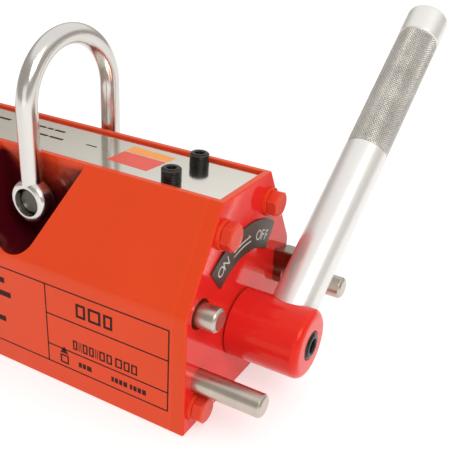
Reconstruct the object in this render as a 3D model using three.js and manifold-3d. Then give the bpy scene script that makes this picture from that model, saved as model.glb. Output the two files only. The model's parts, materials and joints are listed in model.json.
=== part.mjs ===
// Lever-operated permanent magnetic lifter, 300 kg class.
// Millimetres. Origin under the middle of the body, +Z up, +X along the rotor axis towards the handle hub.
import * as THREE from 'three';
import { mergeVertices } from 'three/addons/utils/BufferGeometryUtils.js';
import Module from 'manifold-3d';

const wasm = await Module();
wasm.setup();

// ---------- driving dimensions ----------
const GAP = 0.3;                  // left between two pieces that touch

const LENGTH = 171;               // over both end plates
const HALF_WIDTH = 42;
const HEIGHT = 91;
const SLOPE_Z = 53;               // where the upright sides turn into the sloped ones
const TOP_HALF_WIDTH = 19.3;
const PLATE_THICKNESS = 6;        // end plates
const FRONT = LENGTH / 2;         // outer face of the front end plate
const PLATE_INNER = FRONT - PLATE_THICKNESS;
const POLE_END = PLATE_INNER - GAP;

const ROTOR_Z = 30.9;             // height of the rotor axis
const BORE_RADIUS = 24;
const ROTOR_RADIUS = 23.3;
const CORE_HALF_GAP = 5;          // half the thickness of the strips and magnets between the poles
const POLE_INNER_Y = CORE_HALF_GAP + GAP;
const BORE_BOTTOM = ROTOR_Z - BORE_RADIUS;
const MAGNET_BOTTOM = ROTOR_Z + BORE_RADIUS + 2;  // fixed magnets over the rotor
const MAGNET_TOP = 84;
const MAGNET_INNER_END = 14;      // each magnet's end nearest the middle

const TRAY_HALF_WIDTH = 16.9;     // shallow recess on top that holds the label plate
const TRAY_END = FRONT - 3;
const TRAY_FLOOR = HEIGHT - 2.2;
const LABEL_THICKNESS = 0.7;

// Stop pins and safety button: distance from the rotor axis, and angle about it in degrees
// from +Y towards +Z. `proud` is how far each stands out of the front plate.
const PIN_RADIUS = 4.7;
const ON_PIN = { circle: 33.9, angle: 195.8, proud: 28.8 };
const OFF_PIN = { circle: 35.9, angle: 13.7, proud: 30.8 };
const BUTTON = { circle: 38.2, angle: 147.9, proud: 8.4 };
const BUTTON_RADIUS = 4.8;
const BUTTON_HOLE_RADIUS = 6.1;
const BUTTON_POCKET_RADIUS = 7.2;
const PIN_ROOT = FRONT - 20;      // inner end of the stop pins
const BUTTON_ROOT = PLATE_INNER - 2.5;
const POCKET_BOTTOM = PLATE_INNER - 20;
const SPRING_RADIUS = 5.2;        // middle of the button spring's wire
const SPRING_TURNS = 5;
const WIRE_RADIUS = 0.5;

const BLOCK_THICKNESS = 8.5;      // wedge at the foot of the OFF pin
const BLOCK_CORNERS = [[28.4, 21.3], [43.5, 17], [42.3, 10], [28.5, 13]];  // from the rotor axis
const BOSS_RADIUS = 5.9;          // low round boss about the OFF pin
const BOSS_THICKNESS = 4.2;

const DIAL_INNER = 31.5;          // curved ON/OFF plate, radii about the rotor axis
const DIAL_OUTER = 43.6;
const DIAL_FROM = 56;             // degrees, from +Y towards +Z
const DIAL_TO = 128;
const DIAL_THICKNESS = 0.5;

const ROTOR_END = PLATE_INNER - 9.5;  // each end of the rotor segments and their magnet
const ROTOR_MAGNET_HALF = 8;      // half its thickness
const ROTOR_MAGNET_REACH = 21.4;  // half its width
const CAP_OUTER = PLATE_INNER - 0.6;
const CAP_SCREW_Y = 15;
const CAP_SCREW_RADIUS = 2.4;
const CAP_SCREW_LENGTH = 24.5;
const JOURNAL_RADIUS = 11;
const RUNNING_CLEARANCE = 0.4;    // radial, between turning pieces
const REAR_BUSH_DEPTH = 4.2;      // the rear end plate is bored blind
const REAR_JOURNAL_DEPTH = 4;
const BUSH_RADIUS = 14;
const STUB_RADIUS = 8;            // front shaft end that carries the hub
const STUB_END = FRONT + 8;
const KEY_WIDTH = 4;
const HUB_RADIUS = 14.5;
const HUB_BACK = FRONT + 0.8;
const HUB_FRONT = FRONT + 32.2;
const HUB_EDGE = 3;               // its rounded front edge
const SPOT_FACE_RADIUS = 11.8;    // round seat milled into the hub for the handle
const SPOT_FACE_DEPTH = 1.1;

const HANDLE_X = FRONT + 18.5;    // where the handle axis crosses the rotor axis
const HANDLE_ANGLE = 40;          // degrees, from +Y towards +Z, at rest
const HANDLE_LEAN = 1.8;          // degrees, away from the body
const HANDLE_RADIUS = 9.6;
const HANDLE_LENGTH = 170;        // from the rotor axis to the tip
const KNURL_START = 91.7;
const KNURL_END = 155;
const KNURL_RADIUS = HANDLE_RADIUS * 0.955;
const SPIGOT_RADIUS = 6;          // turned-down root of the handle inside the hub
const SPIGOT_END = -8;
const SHOULDER = 7;               // where the full handle diameter starts inside the hub
const SET_SCREW_RADIUS = 5.8;     // clamps the spigot from the hub's front face
const SET_SCREW_BACK = HANDLE_X + SPIGOT_RADIUS + 0.8;
const SET_SCREW_PROUD = 0.8;
const SET_SCREW_FLATS = 6;        // hexagon socket across flats

const SHACKLE_Z = 72;             // shackle pin axis
const BOW_RADIUS = 4.3;           // half the bar thickness of the shackle
const BOW_Y = 25.7;               // centre of each shackle leg
const BOW_TOP = 135.3;            // bar centre at the crown
const EYE_RADIUS = 9.2;
const SHACKLE_PIN_RADIUS = 5.5;
const SHACKLE_PIN_END = BOW_Y + BOW_RADIUS - 2.4;
const NOTCH_ANGLE = 23.5;         // lean of the notch walls, degrees from upright
const NOTCH_REACH = 13.8;         // distance from the shackle pin axis to each notch wall
const NOTCH_ROUND_Z = 64.5;       // centre of the round notch bottom

const BOLT_PLACES = [[-18.5, 78.2], [18.5, 78.2], [-34, 10], [34, 10]];
const BOLT_RADIUS = 3;
const BOLT_FLATS = 10;
const BOLT_HEAD = 4;
const BOLT_LENGTH = 22;
const BOLT_HOLE_RADIUS = BOLT_RADIUS + GAP;
const BOLT_HOLE_END = FRONT - BOLT_LENGTH - 1;
const WASHER_RADIUS = 6;
const WASHER_THICKNESS = 1.2;

const TOP_SCREW_X = FRONT - 28.5;
const TOP_SCREW_Y = 10.2;
const TOP_SCREW_RADIUS = 4;
const TOP_SCREW_TOP = 95.2;
const TOP_SCREW_BOTTOM = 74;
const TOP_SCREW_FLATS = 4;        // hexagon socket across flats
const SOCKET_DEPTH = 4;

// ---------- materials ----------
function finish(color, roughness, metalness) {
  return new THREE.MeshStandardMaterial({ color, roughness, metalness });
}
const paint = finish(0xe4492a, 0.3, 0);
const platePaint = finish(0xe02e24, 0.2, 0);
const chrome = finish(0xd8d8d6, 0.15, 1);
const steel = finish(0xb9b0a4, 0.35, 1);
const zinc = finish(0xc4c4be, 0.4, 1);
const blackSteel = finish(0x232320, 0.45, 0.6);
const brass = finish(0xb8923e, 0.35, 1);
const bronze = finish(0x9c6f3a, 0.4, 1);
const magnet = finish(0x55565a, 0.5, 0.7);
const silver = finish(0xdcd7cb, 0.25, 0.8);
const darkPlate = finish(0x3a322a, 0.4, 0.2);

// ---------- geometry helpers ----------
const degrees = THREE.MathUtils.degToRad;
const axisX = new THREE.Vector3(1, 0, 0);
const axisY = new THREE.Vector3(0, 1, 0);
const axisZ = new THREE.Vector3(0, 0, 1);

function solidOf(geometry) {
  const bare = geometry.clone();
  bare.deleteAttribute('normal');
  bare.deleteAttribute('uv');
  const merged = mergeVertices(bare, 1e-4);
  return new wasm.Manifold(new wasm.Mesh({
    numProp: 3,
    vertProperties: new Float32Array(merged.attributes.position.array),
    triVerts: new Uint32Array(merged.index.array),
  }));
}

function geometryOf(solid) {
  const mesh = solid.getMesh();
  const geometry = new THREE.BufferGeometry();
  geometry.setAttribute('position', new THREE.BufferAttribute(mesh.vertProperties, 3));
  geometry.setIndex(new THREE.BufferAttribute(mesh.triVerts, 1));
  const faceted = geometry.toNonIndexed();
  faceted.computeVertexNormals();
  return faceted;
}

function cut(body, ...tools) {
  return geometryOf(tools.reduce((solid, tool) => solid.subtract(solidOf(tool)), solidOf(body)));
}

function join(first, ...others) {
  return geometryOf(others.reduce((solid, other) => solid.add(solidOf(other)), solidOf(first)));
}

function box(min, max) {
  const size = new THREE.Vector3(...max).sub(new THREE.Vector3(...min));
  const middle = new THREE.Vector3(...max).add(new THREE.Vector3(...min)).multiplyScalar(0.5);
  return new THREE.BoxGeometry(size.x, size.y, size.z).translate(middle.x, middle.y, middle.z);
}

// A cylinder along `axis` between two places on it, centred on `centre`.
function cylinder(axis, radius, from, to, centre = [0, 0, 0], segments = 32) {
  const geometry = new THREE.CylinderGeometry(radius, radius, to - from, segments);
  geometry.translate(0, (from + to) / 2, 0);
  geometry.applyQuaternion(new THREE.Quaternion().setFromUnitVectors(axisY, axis));
  return geometry.translate(...centre);
}

// A turned piece: profile points are [place along the axis, radius], from one end of the axis to the other.
function turned(axis, profile, centre = [0, 0, 0], segments = 32) {
  const points = profile.map(([along, radius]) => new THREE.Vector2(radius, along));
  const geometry = new THREE.LatheGeometry(points, segments);
  geometry.applyQuaternion(new THREE.Quaternion().setFromUnitVectors(axisY, axis));
  return geometry.translate(...centre);
}

// A tube along `axis`: outer and inner radius between two places.
function tube(axis, outer, inner, from, to, centre = [0, 0, 0], segments = 32) {
  const profile = [[from, inner], [from, outer], [to, outer], [to, inner], [from, inner]];
  return turned(axis, profile, centre, segments);
}

// Extrusions: an outline in the Y-Z plane pushed along X, and one in the X-Z plane pushed along Y.
function extrudeAlongX(shape, from, to, curveSegments = 12) {
  const settings = { depth: to - from, bevelEnabled: false, curveSegments };
  const geometry = new THREE.ExtrudeGeometry(shape, settings);
  geometry.applyMatrix4(new THREE.Matrix4().makeBasis(axisY, axisZ, axisX));
  return geometry.translate(from, 0, 0);
}

function extrudeAlongY(shape, from, to, curveSegments = 12) {
  const settings = { depth: to - from, bevelEnabled: false, curveSegments };
  const geometry = new THREE.ExtrudeGeometry(shape, settings);
  geometry.applyMatrix4(new THREE.Matrix4().makeBasis(axisX, axisZ, axisY.clone().negate()));
  return geometry.translate(0, to, 0);
}

// Closed outline through corner points [u, v, radius], each corner rounded by its radius.
function roundedOutline(corners) {
  const shape = new THREE.Shape();
  corners.forEach(([u, v, radius = 0], i) => {
    const corner = new THREE.Vector2(u, v);
    const before = new THREE.Vector2(...corners.at(i - 1));
    const after = new THREE.Vector2(...corners[(i + 1) % corners.length]);
    const enter = corner.clone().add(before.sub(corner).setLength(radius));
    const leave = corner.clone().add(after.sub(corner).setLength(radius));
    if (i === 0) shape.moveTo(enter.x, enter.y);
    else shape.lineTo(enter.x, enter.y);
    if (radius > 0) shape.quadraticCurveTo(u, v, leave.x, leave.y);
  });
  shape.closePath();
  return shape;
}

function hexOutline(flats) {
  const radius = flats / Math.sqrt(3);
  const corners = Array.from({ length: 6 }, (_, i) => [
    radius * Math.cos(i * Math.PI / 3), radius * Math.sin(i * Math.PI / 3),
  ]);
  return roundedOutline(corners);
}

function hexAlongX(flats, from, to, y, z) {
  return extrudeAlongX(hexOutline(flats), from, to).translate(0, y, z);
}

// Y and Z of a place on a circle about the rotor axis.
function aroundRotor({ circle, angle }) {
  return [circle * Math.cos(degrees(angle)), ROTOR_Z + circle * Math.sin(degrees(angle))];
}

const [onPinY, onPinZ] = aroundRotor(ON_PIN);
const [offPinY, offPinZ] = aroundRotor(OFF_PIN);
const [buttonY, buttonZ] = aroundRotor(BUTTON);


const lifter = new THREE.Group();
function add(name, geometry, material) {
  const mesh = new THREE.Mesh(geometry, material);
  mesh.name = name;
  lifter.add(mesh);
  return mesh;
}

// ---------- poles: two steel halves of the body around the rotor bore ----------
function poleOutline() {
  const openHalf = Math.asin(POLE_INNER_Y / BORE_RADIUS);
  const shape = new THREE.Shape();
  shape.moveTo(POLE_INNER_Y, 0);
  shape.lineTo(HALF_WIDTH - 1, 0);
  shape.lineTo(HALF_WIDTH, 1);
  shape.lineTo(HALF_WIDTH, SLOPE_Z);
  shape.lineTo(TOP_HALF_WIDTH + 0.5, HEIGHT - 0.8);
  shape.lineTo(TOP_HALF_WIDTH - 0.5, HEIGHT);
  shape.lineTo(TRAY_HALF_WIDTH, HEIGHT);
  shape.lineTo(TRAY_HALF_WIDTH, TRAY_FLOOR);
  shape.lineTo(POLE_INNER_Y, TRAY_FLOOR);
  shape.absarc(0, ROTOR_Z, BORE_RADIUS, Math.PI / 2 - openHalf, -Math.PI / 2 + openHalf, true);
  shape.closePath();
  return shape;
}

// Fan-shaped notch in the sloped side, where the shackle eye sits and the shackle swings.
function notchOutline() {
  const lean = degrees(NOTCH_ANGLE);
  const topZ = HEIGHT + 4;
  const wallX = (z) => NOTCH_REACH / Math.cos(lean) + (z - SHACKLE_Z) * Math.tan(lean);
  const round = wallX(NOTCH_ROUND_Z) * Math.cos(lean);
  const shape = new THREE.Shape();
  shape.moveTo(wallX(topZ), topZ);
  shape.lineTo(-wallX(topZ), topZ);
  shape.absarc(0, NOTCH_ROUND_Z, round, Math.PI + lean, 2 * Math.PI - lean, false);
  shape.closePath();
  return shape;
}

// `side` is +1 for the half on +Y, -1 for the one on -Y.
function pole(side) {
  const outline = extrudeAlongX(poleOutline(), -POLE_END, POLE_END, 14);
  if (side < 0) {
    outline.rotateZ(Math.PI);
  }
  const notch = side > 0
    ? extrudeAlongY(notchOutline(), TOP_HALF_WIDTH, HALF_WIDTH + 5)
    : extrudeAlongY(notchOutline(), -HALF_WIDTH - 5, -TOP_HALF_WIDTH);
  const tools = [
    notch,
    cylinder(axisY, SHACKLE_PIN_RADIUS + RUNNING_CLEARANCE, -HALF_WIDTH, HALF_WIDTH, [0, 0, SHACKLE_Z]),
    cylinder(axisZ, TOP_SCREW_RADIUS + GAP, TOP_SCREW_BOTTOM - 1, HEIGHT,
      [TOP_SCREW_X, side * TOP_SCREW_Y, 0]),
  ];
  for (const [y, z] of BOLT_PLACES.filter(([placeY]) => placeY * side > 0)) {
    tools.push(cylinder(axisX, BOLT_HOLE_RADIUS, BOLT_HOLE_END, FRONT, [0, y, z], 16));
    tools.push(cylinder(axisX, BOLT_HOLE_RADIUS, -FRONT, -BOLT_HOLE_END, [0, y, z], 16));
  }
  if (side > 0) {
    tools.push(cylinder(axisX, PIN_RADIUS + GAP, PIN_ROOT - GAP, FRONT, [0, offPinY, offPinZ], 24));
  } else {
    tools.push(cylinder(axisX, PIN_RADIUS + GAP, PIN_ROOT - GAP, FRONT, [0, onPinY, onPinZ], 24));
    tools.push(cylinder(axisX, BUTTON_POCKET_RADIUS, POCKET_BOTTOM, FRONT, [0, buttonY, buttonZ], 24));
  }
  return cut(outline, ...tools);
}
add('left_pole', pole(-1), paint);
add('right_pole', pole(1), paint);

// ---------- non-magnetic strips and fixed magnets between the poles ----------
const spacer = (low, high) => box([-POLE_END, -CORE_HALF_GAP, low], [POLE_END, CORE_HALF_GAP, high]);
add('bottom_spacer', spacer(0, BORE_BOTTOM - GAP), brass);
add('top_spacer', spacer(MAGNET_TOP + GAP, TRAY_FLOOR), brass);
for (const [name, side] of [['front_stator_magnet', 1], ['rear_stator_magnet', -1]]) {
  const inner = side * MAGNET_INNER_END;
  const outer = side * (POLE_END - 1);
  const low = [Math.min(inner, outer), -CORE_HALF_GAP, MAGNET_BOTTOM];
  const high = [Math.max(inner, outer), CORE_HALF_GAP, MAGNET_TOP];
  add(name, box(low, high), magnet);
}

// ---------- end plates ----------
function endPlate(front) {
  const outline = roundedOutline([
    [-HALF_WIDTH, 0, 1], [HALF_WIDTH, 0, 1], [HALF_WIDTH, SLOPE_Z, 1.5],
    [TOP_HALF_WIDTH, HEIGHT, 1], [TRAY_HALF_WIDTH, HEIGHT], [-TRAY_HALF_WIDTH, HEIGHT],
    [-TOP_HALF_WIDTH, HEIGHT, 1], [-HALF_WIDTH, SLOPE_Z, 1.5],
  ]);
  const plate = extrudeAlongX(outline, PLATE_INNER, FRONT, 3);
  const trayEnd = box([0, -TRAY_HALF_WIDTH, TRAY_FLOOR], [TRAY_END, TRAY_HALF_WIDTH, HEIGHT + 1]);
  const holes = BOLT_PLACES.map(([y, z]) => cylinder(axisX, BOLT_HOLE_RADIUS, 0, FRONT + 1, [0, y, z], 16));
  const rotorPlace = [0, 0, ROTOR_Z];
  if (front) {
    holes.push(cylinder(axisX, BUSH_RADIUS + GAP, 0, FRONT + 1, rotorPlace));
    holes.push(cylinder(axisX, PIN_RADIUS + GAP, 0, FRONT + 1, [0, onPinY, onPinZ], 24));
    holes.push(cylinder(axisX, PIN_RADIUS + GAP, 0, FRONT + 1, [0, offPinY, offPinZ], 24));
    holes.push(cylinder(axisX, BUTTON_HOLE_RADIUS, 0, FRONT + 1, [0, buttonY, buttonZ], 24));
  } else {
    holes.push(cylinder(axisX, BUSH_RADIUS + GAP, 0, PLATE_INNER + REAR_BUSH_DEPTH + GAP, rotorPlace));
  }
  const geometry = cut(plate, trayEnd, ...holes);
  if (!front) geometry.rotateZ(Math.PI);
  return geometry;
}
add('front_end_plate', endPlate(true), platePaint);
add('rear_end_plate', endPlate(false), platePaint);

// ---------- bolts and washers of both end plates ----------
function bolt([y, z]) {
  const seat = FRONT + GAP + WASHER_THICKNESS + GAP;
  const shank = cylinder(axisX, BOLT_RADIUS, FRONT - BOLT_LENGTH, seat + 1, [0, y, z], 16);
  return join(hexAlongX(BOLT_FLATS, seat, seat + BOLT_HEAD, y, z), shank);
}
BOLT_PLACES.forEach((place, i) => {
  const washer = tube(axisX, WASHER_RADIUS, BOLT_HOLE_RADIUS, FRONT + GAP, FRONT + GAP + WASHER_THICKNESS,
    [0, ...place], 24);
  add(`front_washer_${i + 1}`, washer, platePaint);
  add(`front_bolt_${i + 1}`, bolt(place), platePaint);
  add(`rear_washer_${i + 1}`, washer.clone().rotateZ(Math.PI), platePaint);
  add(`rear_bolt_${i + 1}`, bolt(place).rotateZ(Math.PI), platePaint);
});

// ---------- top label plate and its two socket set screws ----------
const labelBottom = TRAY_FLOOR + GAP;
const labelPlate = box(
  [-TRAY_END + GAP, -TRAY_HALF_WIDTH + GAP, labelBottom],
  [TRAY_END - GAP, TRAY_HALF_WIDTH - GAP, labelBottom + LABEL_THICKNESS],
);
const screwHoles = [-1, 1].map((side) => cylinder(axisZ, TOP_SCREW_RADIUS + RUNNING_CLEARANCE, 0,
  HEIGHT, [TOP_SCREW_X, side * TOP_SCREW_Y, 0], 24));
add('top_label_plate', cut(labelPlate, ...screwHoles), silver);

function socketSetScrew(axis, radius, from, to, socketFlats, centre) {
  const blank = turned(axis, [[from, 0], [from, radius - 1], [from + 1, radius], [to - 1, radius],
    [to, radius - 1], [to, 0]], [0, 0, 0], 24);
  const socketGeometry = new THREE.ExtrudeGeometry(hexOutline(socketFlats),
    { depth: SOCKET_DEPTH + 1, bevelEnabled: false });
  socketGeometry.translate(0, 0, to - SOCKET_DEPTH);
  socketGeometry.applyQuaternion(new THREE.Quaternion().setFromUnitVectors(axisZ, axis));
  return cut(blank, socketGeometry).translate(...centre);
}
for (const [name, side] of [['left_top_set_screw', -1], ['right_top_set_screw', 1]]) {
  const centre = [TOP_SCREW_X, side * TOP_SCREW_Y, 0];
  const screw = socketSetScrew(axisZ, TOP_SCREW_RADIUS, TOP_SCREW_BOTTOM, TOP_SCREW_TOP,
    TOP_SCREW_FLATS, centre);
  add(name, screw, blackSteel);
}

// ---------- curved ON/OFF plate above the hub ----------
const dialOutline = new THREE.Shape();
dialOutline.absarc(0, 0, DIAL_OUTER, degrees(DIAL_FROM), degrees(DIAL_TO), false);
dialOutline.absarc(0, 0, DIAL_INNER, degrees(DIAL_TO), degrees(DIAL_FROM), true);
dialOutline.closePath();
add('on_off_plate', extrudeAlongX(dialOutline, FRONT + GAP, FRONT + GAP + DIAL_THICKNESS, 16)
  .translate(0, 0, ROTOR_Z), darkPlate);

// ---------- stop pins and the block at the foot of the OFF pin ----------
function stopPin(y, z, proud) {
  const tip = FRONT + proud;
  return turned(axisX, [[PIN_ROOT, 0], [PIN_ROOT, PIN_RADIUS], [tip - 0.8, PIN_RADIUS],
    [tip, PIN_RADIUS - 0.8], [tip, 0]], [0, y, z], 24);
}
add('on_stop_pin', stopPin(onPinY, onPinZ, ON_PIN.proud), steel);
add('off_stop_pin', stopPin(offPinY, offPinZ, OFF_PIN.proud), steel);
// The stop block: a wedge lying on the end plate, and a low round boss around the pin.
const wedge = extrudeAlongX(roundedOutline(BLOCK_CORNERS), FRONT + GAP, FRONT + GAP + BLOCK_THICKNESS);
const block = join(wedge.translate(0, 0, ROTOR_Z),
  cylinder(axisX, BOSS_RADIUS, FRONT + GAP, FRONT + GAP + BOSS_THICKNESS, [0, offPinY, offPinZ], 32));
const blockBore = cylinder(axisX, PIN_RADIUS + GAP, FRONT, FRONT + 2 * BLOCK_THICKNESS,
  [0, offPinY, offPinZ], 24);
add('off_stop_block', cut(block, blockBore), blackSteel);

// ---------- sprung safety button ----------
const buttonTip = FRONT + BUTTON.proud;
const FLANGE_RADIUS = BUTTON_POCKET_RADIUS - RUNNING_CLEARANCE;
const FLANGE_FRONT = PLATE_INNER - 0.5;
add('safety_button', turned(axisX, [
  [BUTTON_ROOT, 0], [BUTTON_ROOT, FLANGE_RADIUS],
  [FLANGE_FRONT, FLANGE_RADIUS], [FLANGE_FRONT, BUTTON_RADIUS],
  [buttonTip - 1, BUTTON_RADIUS], [buttonTip - 0.3, BUTTON_RADIUS - 0.3],
  [buttonTip, BUTTON_RADIUS - 1], [buttonTip, 0],
], [0, buttonY, buttonZ], 24), steel);

class Helix extends THREE.Curve {
  constructor(radius, from, to, turns) {
    super();
    Object.assign(this, { radius, from, to, turns });
  }

  getPoint(t, target = new THREE.Vector3()) {
    const angle = t * this.turns * 2 * Math.PI;
    const along = this.from + t * (this.to - this.from);
    return target.set(along, this.radius * Math.cos(angle), this.radius * Math.sin(angle));
  }
}

function round(radius, segments = 12) {
  const shape = new THREE.Shape();
  for (let i = 0; i < segments; i += 1) {
    const angle = 2 * Math.PI * i / segments;
    const place = [radius * Math.cos(angle), radius * Math.sin(angle)];
    if (i === 0) shape.moveTo(...place);
    else shape.lineTo(...place);
  }
  shape.closePath();
  return shape;
}
const springFrom = POCKET_BOTTOM + GAP + WIRE_RADIUS;
const springTo = BUTTON_ROOT - GAP - WIRE_RADIUS;
const springCurve = new Helix(SPRING_RADIUS, springFrom, springTo, SPRING_TURNS);
const spring = new THREE.ExtrudeGeometry(round(WIRE_RADIUS, 6),
  { steps: 12 * SPRING_TURNS, extrudePath: springCurve });
add('button_spring', spring.translate(0, buttonY, buttonZ), steel);

// ---------- bushes in the end plates ----------
const BUSH_BORE = JOURNAL_RADIUS + RUNNING_CLEARANCE;

add('front_bush', tube(axisX, BUSH_RADIUS, BUSH_BORE, PLATE_INNER, FRONT, [0, 0, ROTOR_Z]), bronze);
add('rear_bush', tube(axisX, BUSH_RADIUS, BUSH_BORE, -PLATE_INNER - REAR_BUSH_DEPTH, -PLATE_INNER,
  [0, 0, ROTOR_Z]), bronze);

// ---------- rotor: two steel segments around a magnet, closed by two capped journals ----------
function rotorSegmentOutline() {
  const flat = ROTOR_MAGNET_HALF + GAP;
  const half = Math.acos(flat / ROTOR_RADIUS);
  const shape = new THREE.Shape();
  shape.absarc(0, 0, ROTOR_RADIUS, -half, half, false);
  shape.closePath();
  return shape;
}
const screwTunnel = (side) => cylinder(axisX, CAP_SCREW_RADIUS + GAP, -FRONT, FRONT,
  [0, side * CAP_SCREW_Y, ROTOR_Z], 16);
for (const [name, side] of [['left_rotor_segment', -1], ['right_rotor_segment', 1]]) {
  const segment = extrudeAlongX(rotorSegmentOutline(), -ROTOR_END, ROTOR_END, 20);
  if (side < 0) segment.rotateZ(Math.PI);
  add(name, cut(segment.translate(0, 0, ROTOR_Z), screwTunnel(side)), zinc);
}
add('rotor_magnet', box([-ROTOR_END, -ROTOR_MAGNET_HALF, ROTOR_Z - ROTOR_MAGNET_REACH],
  [ROTOR_END, ROTOR_MAGNET_HALF, ROTOR_Z + ROTOR_MAGNET_REACH]), magnet);

const capInner = ROTOR_END + GAP;
const frontCap = turned(axisX, [
  [capInner, 0], [capInner, ROTOR_RADIUS], [CAP_OUTER, ROTOR_RADIUS], [CAP_OUTER, JOURNAL_RADIUS],
  [FRONT + 0.4, JOURNAL_RADIUS], [FRONT + 0.4, STUB_RADIUS], [STUB_END, STUB_RADIUS], [STUB_END, 0],
], [0, 0, ROTOR_Z], 40);
const rearJournalEnd = -PLATE_INNER - REAR_JOURNAL_DEPTH;
const rearCap = turned(axisX, [
  [rearJournalEnd, 0], [rearJournalEnd, JOURNAL_RADIUS], [-CAP_OUTER, JOURNAL_RADIUS],
  [-CAP_OUTER, ROTOR_RADIUS], [-capInner, ROTOR_RADIUS], [-capInner, 0],
], [0, 0, ROTOR_Z], 40);
const KEY_FROM = HUB_BACK + 0.4;
const KEY_TO = STUB_END - 0.6;
const KEY_BOTTOM = ROTOR_Z + STUB_RADIUS - KEY_WIDTH / 2;
const KEY_TOP = ROTOR_Z + STUB_RADIUS + KEY_WIDTH / 2;
const keySlot = box([KEY_FROM - GAP, -KEY_WIDTH / 2 - GAP, KEY_BOTTOM - GAP],
  [STUB_END + 1, KEY_WIDTH / 2 + GAP, KEY_TOP + GAP]);
add('front_rotor_cap', cut(frontCap, screwTunnel(-1), screwTunnel(1), keySlot), brass);
add('rear_rotor_cap', cut(rearCap, screwTunnel(-1), screwTunnel(1)), brass);
for (const [end, direction] of [['front', 1], ['rear', -1]]) {
  for (const [hand, side] of [['left', -1], ['right', 1]]) {
    const head = CAP_OUTER - 0.4;
    const span = [direction * (head - CAP_SCREW_LENGTH), direction * head].sort((a, b) => a - b);
    add(`${end}_${hand}_rotor_screw`, cylinder(axisX, CAP_SCREW_RADIUS, ...span,
      [0, side * CAP_SCREW_Y, ROTOR_Z], 16), blackSteel);
  }
}

// ---------- hub, its key and its set screw ----------
const handleDirection = new THREE.Vector3(
  Math.sin(degrees(HANDLE_LEAN)),
  Math.cos(degrees(HANDLE_ANGLE)) * Math.cos(degrees(HANDLE_LEAN)),
  Math.sin(degrees(HANDLE_ANGLE)) * Math.cos(degrees(HANDLE_LEAN)),
);
const handleRoot = [HANDLE_X, 0, ROTOR_Z];

function hubGeometry() {
  const beyondHub = 2 * HUB_RADIUS;
  const profile = [[HUB_BACK, 0], [HUB_BACK, HUB_RADIUS - 0.4], [HUB_BACK + 0.4, HUB_RADIUS],
    [HUB_FRONT - HUB_EDGE, HUB_RADIUS]];
  for (let i = 1; i <= 4; i += 1) {
    const angle = i * Math.PI / 8;
    profile.push([
      HUB_FRONT - HUB_EDGE * (1 - Math.sin(angle)),
      HUB_RADIUS - HUB_EDGE * (1 - Math.cos(angle)),
    ]);
  }
  profile.push([HUB_FRONT, 0]);
  const blank = turned(axisX, profile, [0, 0, ROTOR_Z], 40);
  return cut(
    blank,
    cylinder(axisX, STUB_RADIUS + GAP, HUB_BACK - 1, STUB_END + GAP, [0, 0, ROTOR_Z]),
    cylinder(axisX, SET_SCREW_RADIUS + GAP, HANDLE_X, HUB_FRONT + 1, [0, 0, ROTOR_Z]),
    cylinder(handleDirection, HANDLE_RADIUS + GAP, SHOULDER - GAP, beyondHub, handleRoot, 40),
    cylinder(handleDirection, SPIGOT_RADIUS + GAP, SPIGOT_END - GAP, beyondHub, handleRoot, 24),
    cylinder(handleDirection, SPOT_FACE_RADIUS, HUB_RADIUS - SPOT_FACE_DEPTH, beyondHub, handleRoot, 40),
    keySlot,
  );
}
add('hub', hubGeometry(), paint);
add('hub_key', box([KEY_FROM, -KEY_WIDTH / 2, KEY_BOTTOM], [KEY_TO, KEY_WIDTH / 2, KEY_TOP]), steel);
const setScrewFront = HUB_FRONT + SET_SCREW_PROUD;
add('hub_set_screw', socketSetScrew(axisX, SET_SCREW_RADIUS, SET_SCREW_BACK, setScrewFront,
  SET_SCREW_FLATS, [0, 0, ROTOR_Z]), blackSteel);

// ---------- handle ----------
add('handle', turned(handleDirection, [
  [SPIGOT_END, 0], [SPIGOT_END, SPIGOT_RADIUS], [SHOULDER, SPIGOT_RADIUS], [SHOULDER, HANDLE_RADIUS],
  [KNURL_START - 0.8, HANDLE_RADIUS], [KNURL_START, KNURL_RADIUS], [KNURL_END, KNURL_RADIUS],
  [KNURL_END + 0.8, HANDLE_RADIUS], [HANDLE_LENGTH - 2, HANDLE_RADIUS],
  [HANDLE_LENGTH - 0.6, HANDLE_RADIUS - 0.8], [HANDLE_LENGTH, HANDLE_RADIUS - 2.4], [HANDLE_LENGTH, 0],
], handleRoot, 32), chrome);

// ---------- lifting shackle and its pin ----------
const CROWN_Z = BOW_TOP - BOW_Y;
class BowCurve extends THREE.Curve {
  getPoint(t, target = new THREE.Vector3()) {
    const leg = CROWN_Z - SHACKLE_Z;
    const crown = Math.PI * BOW_Y;
    const along = t * (2 * leg + crown);
    if (along < leg) return target.set(0, -BOW_Y, SHACKLE_Z + along);
    if (along > leg + crown) return target.set(0, BOW_Y, SHACKLE_Z + 2 * leg + crown - along);
    const angle = Math.PI - (along - leg) / BOW_Y;
    return target.set(0, BOW_Y * Math.cos(angle), CROWN_Z + BOW_Y * Math.sin(angle));
  }
}

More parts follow.
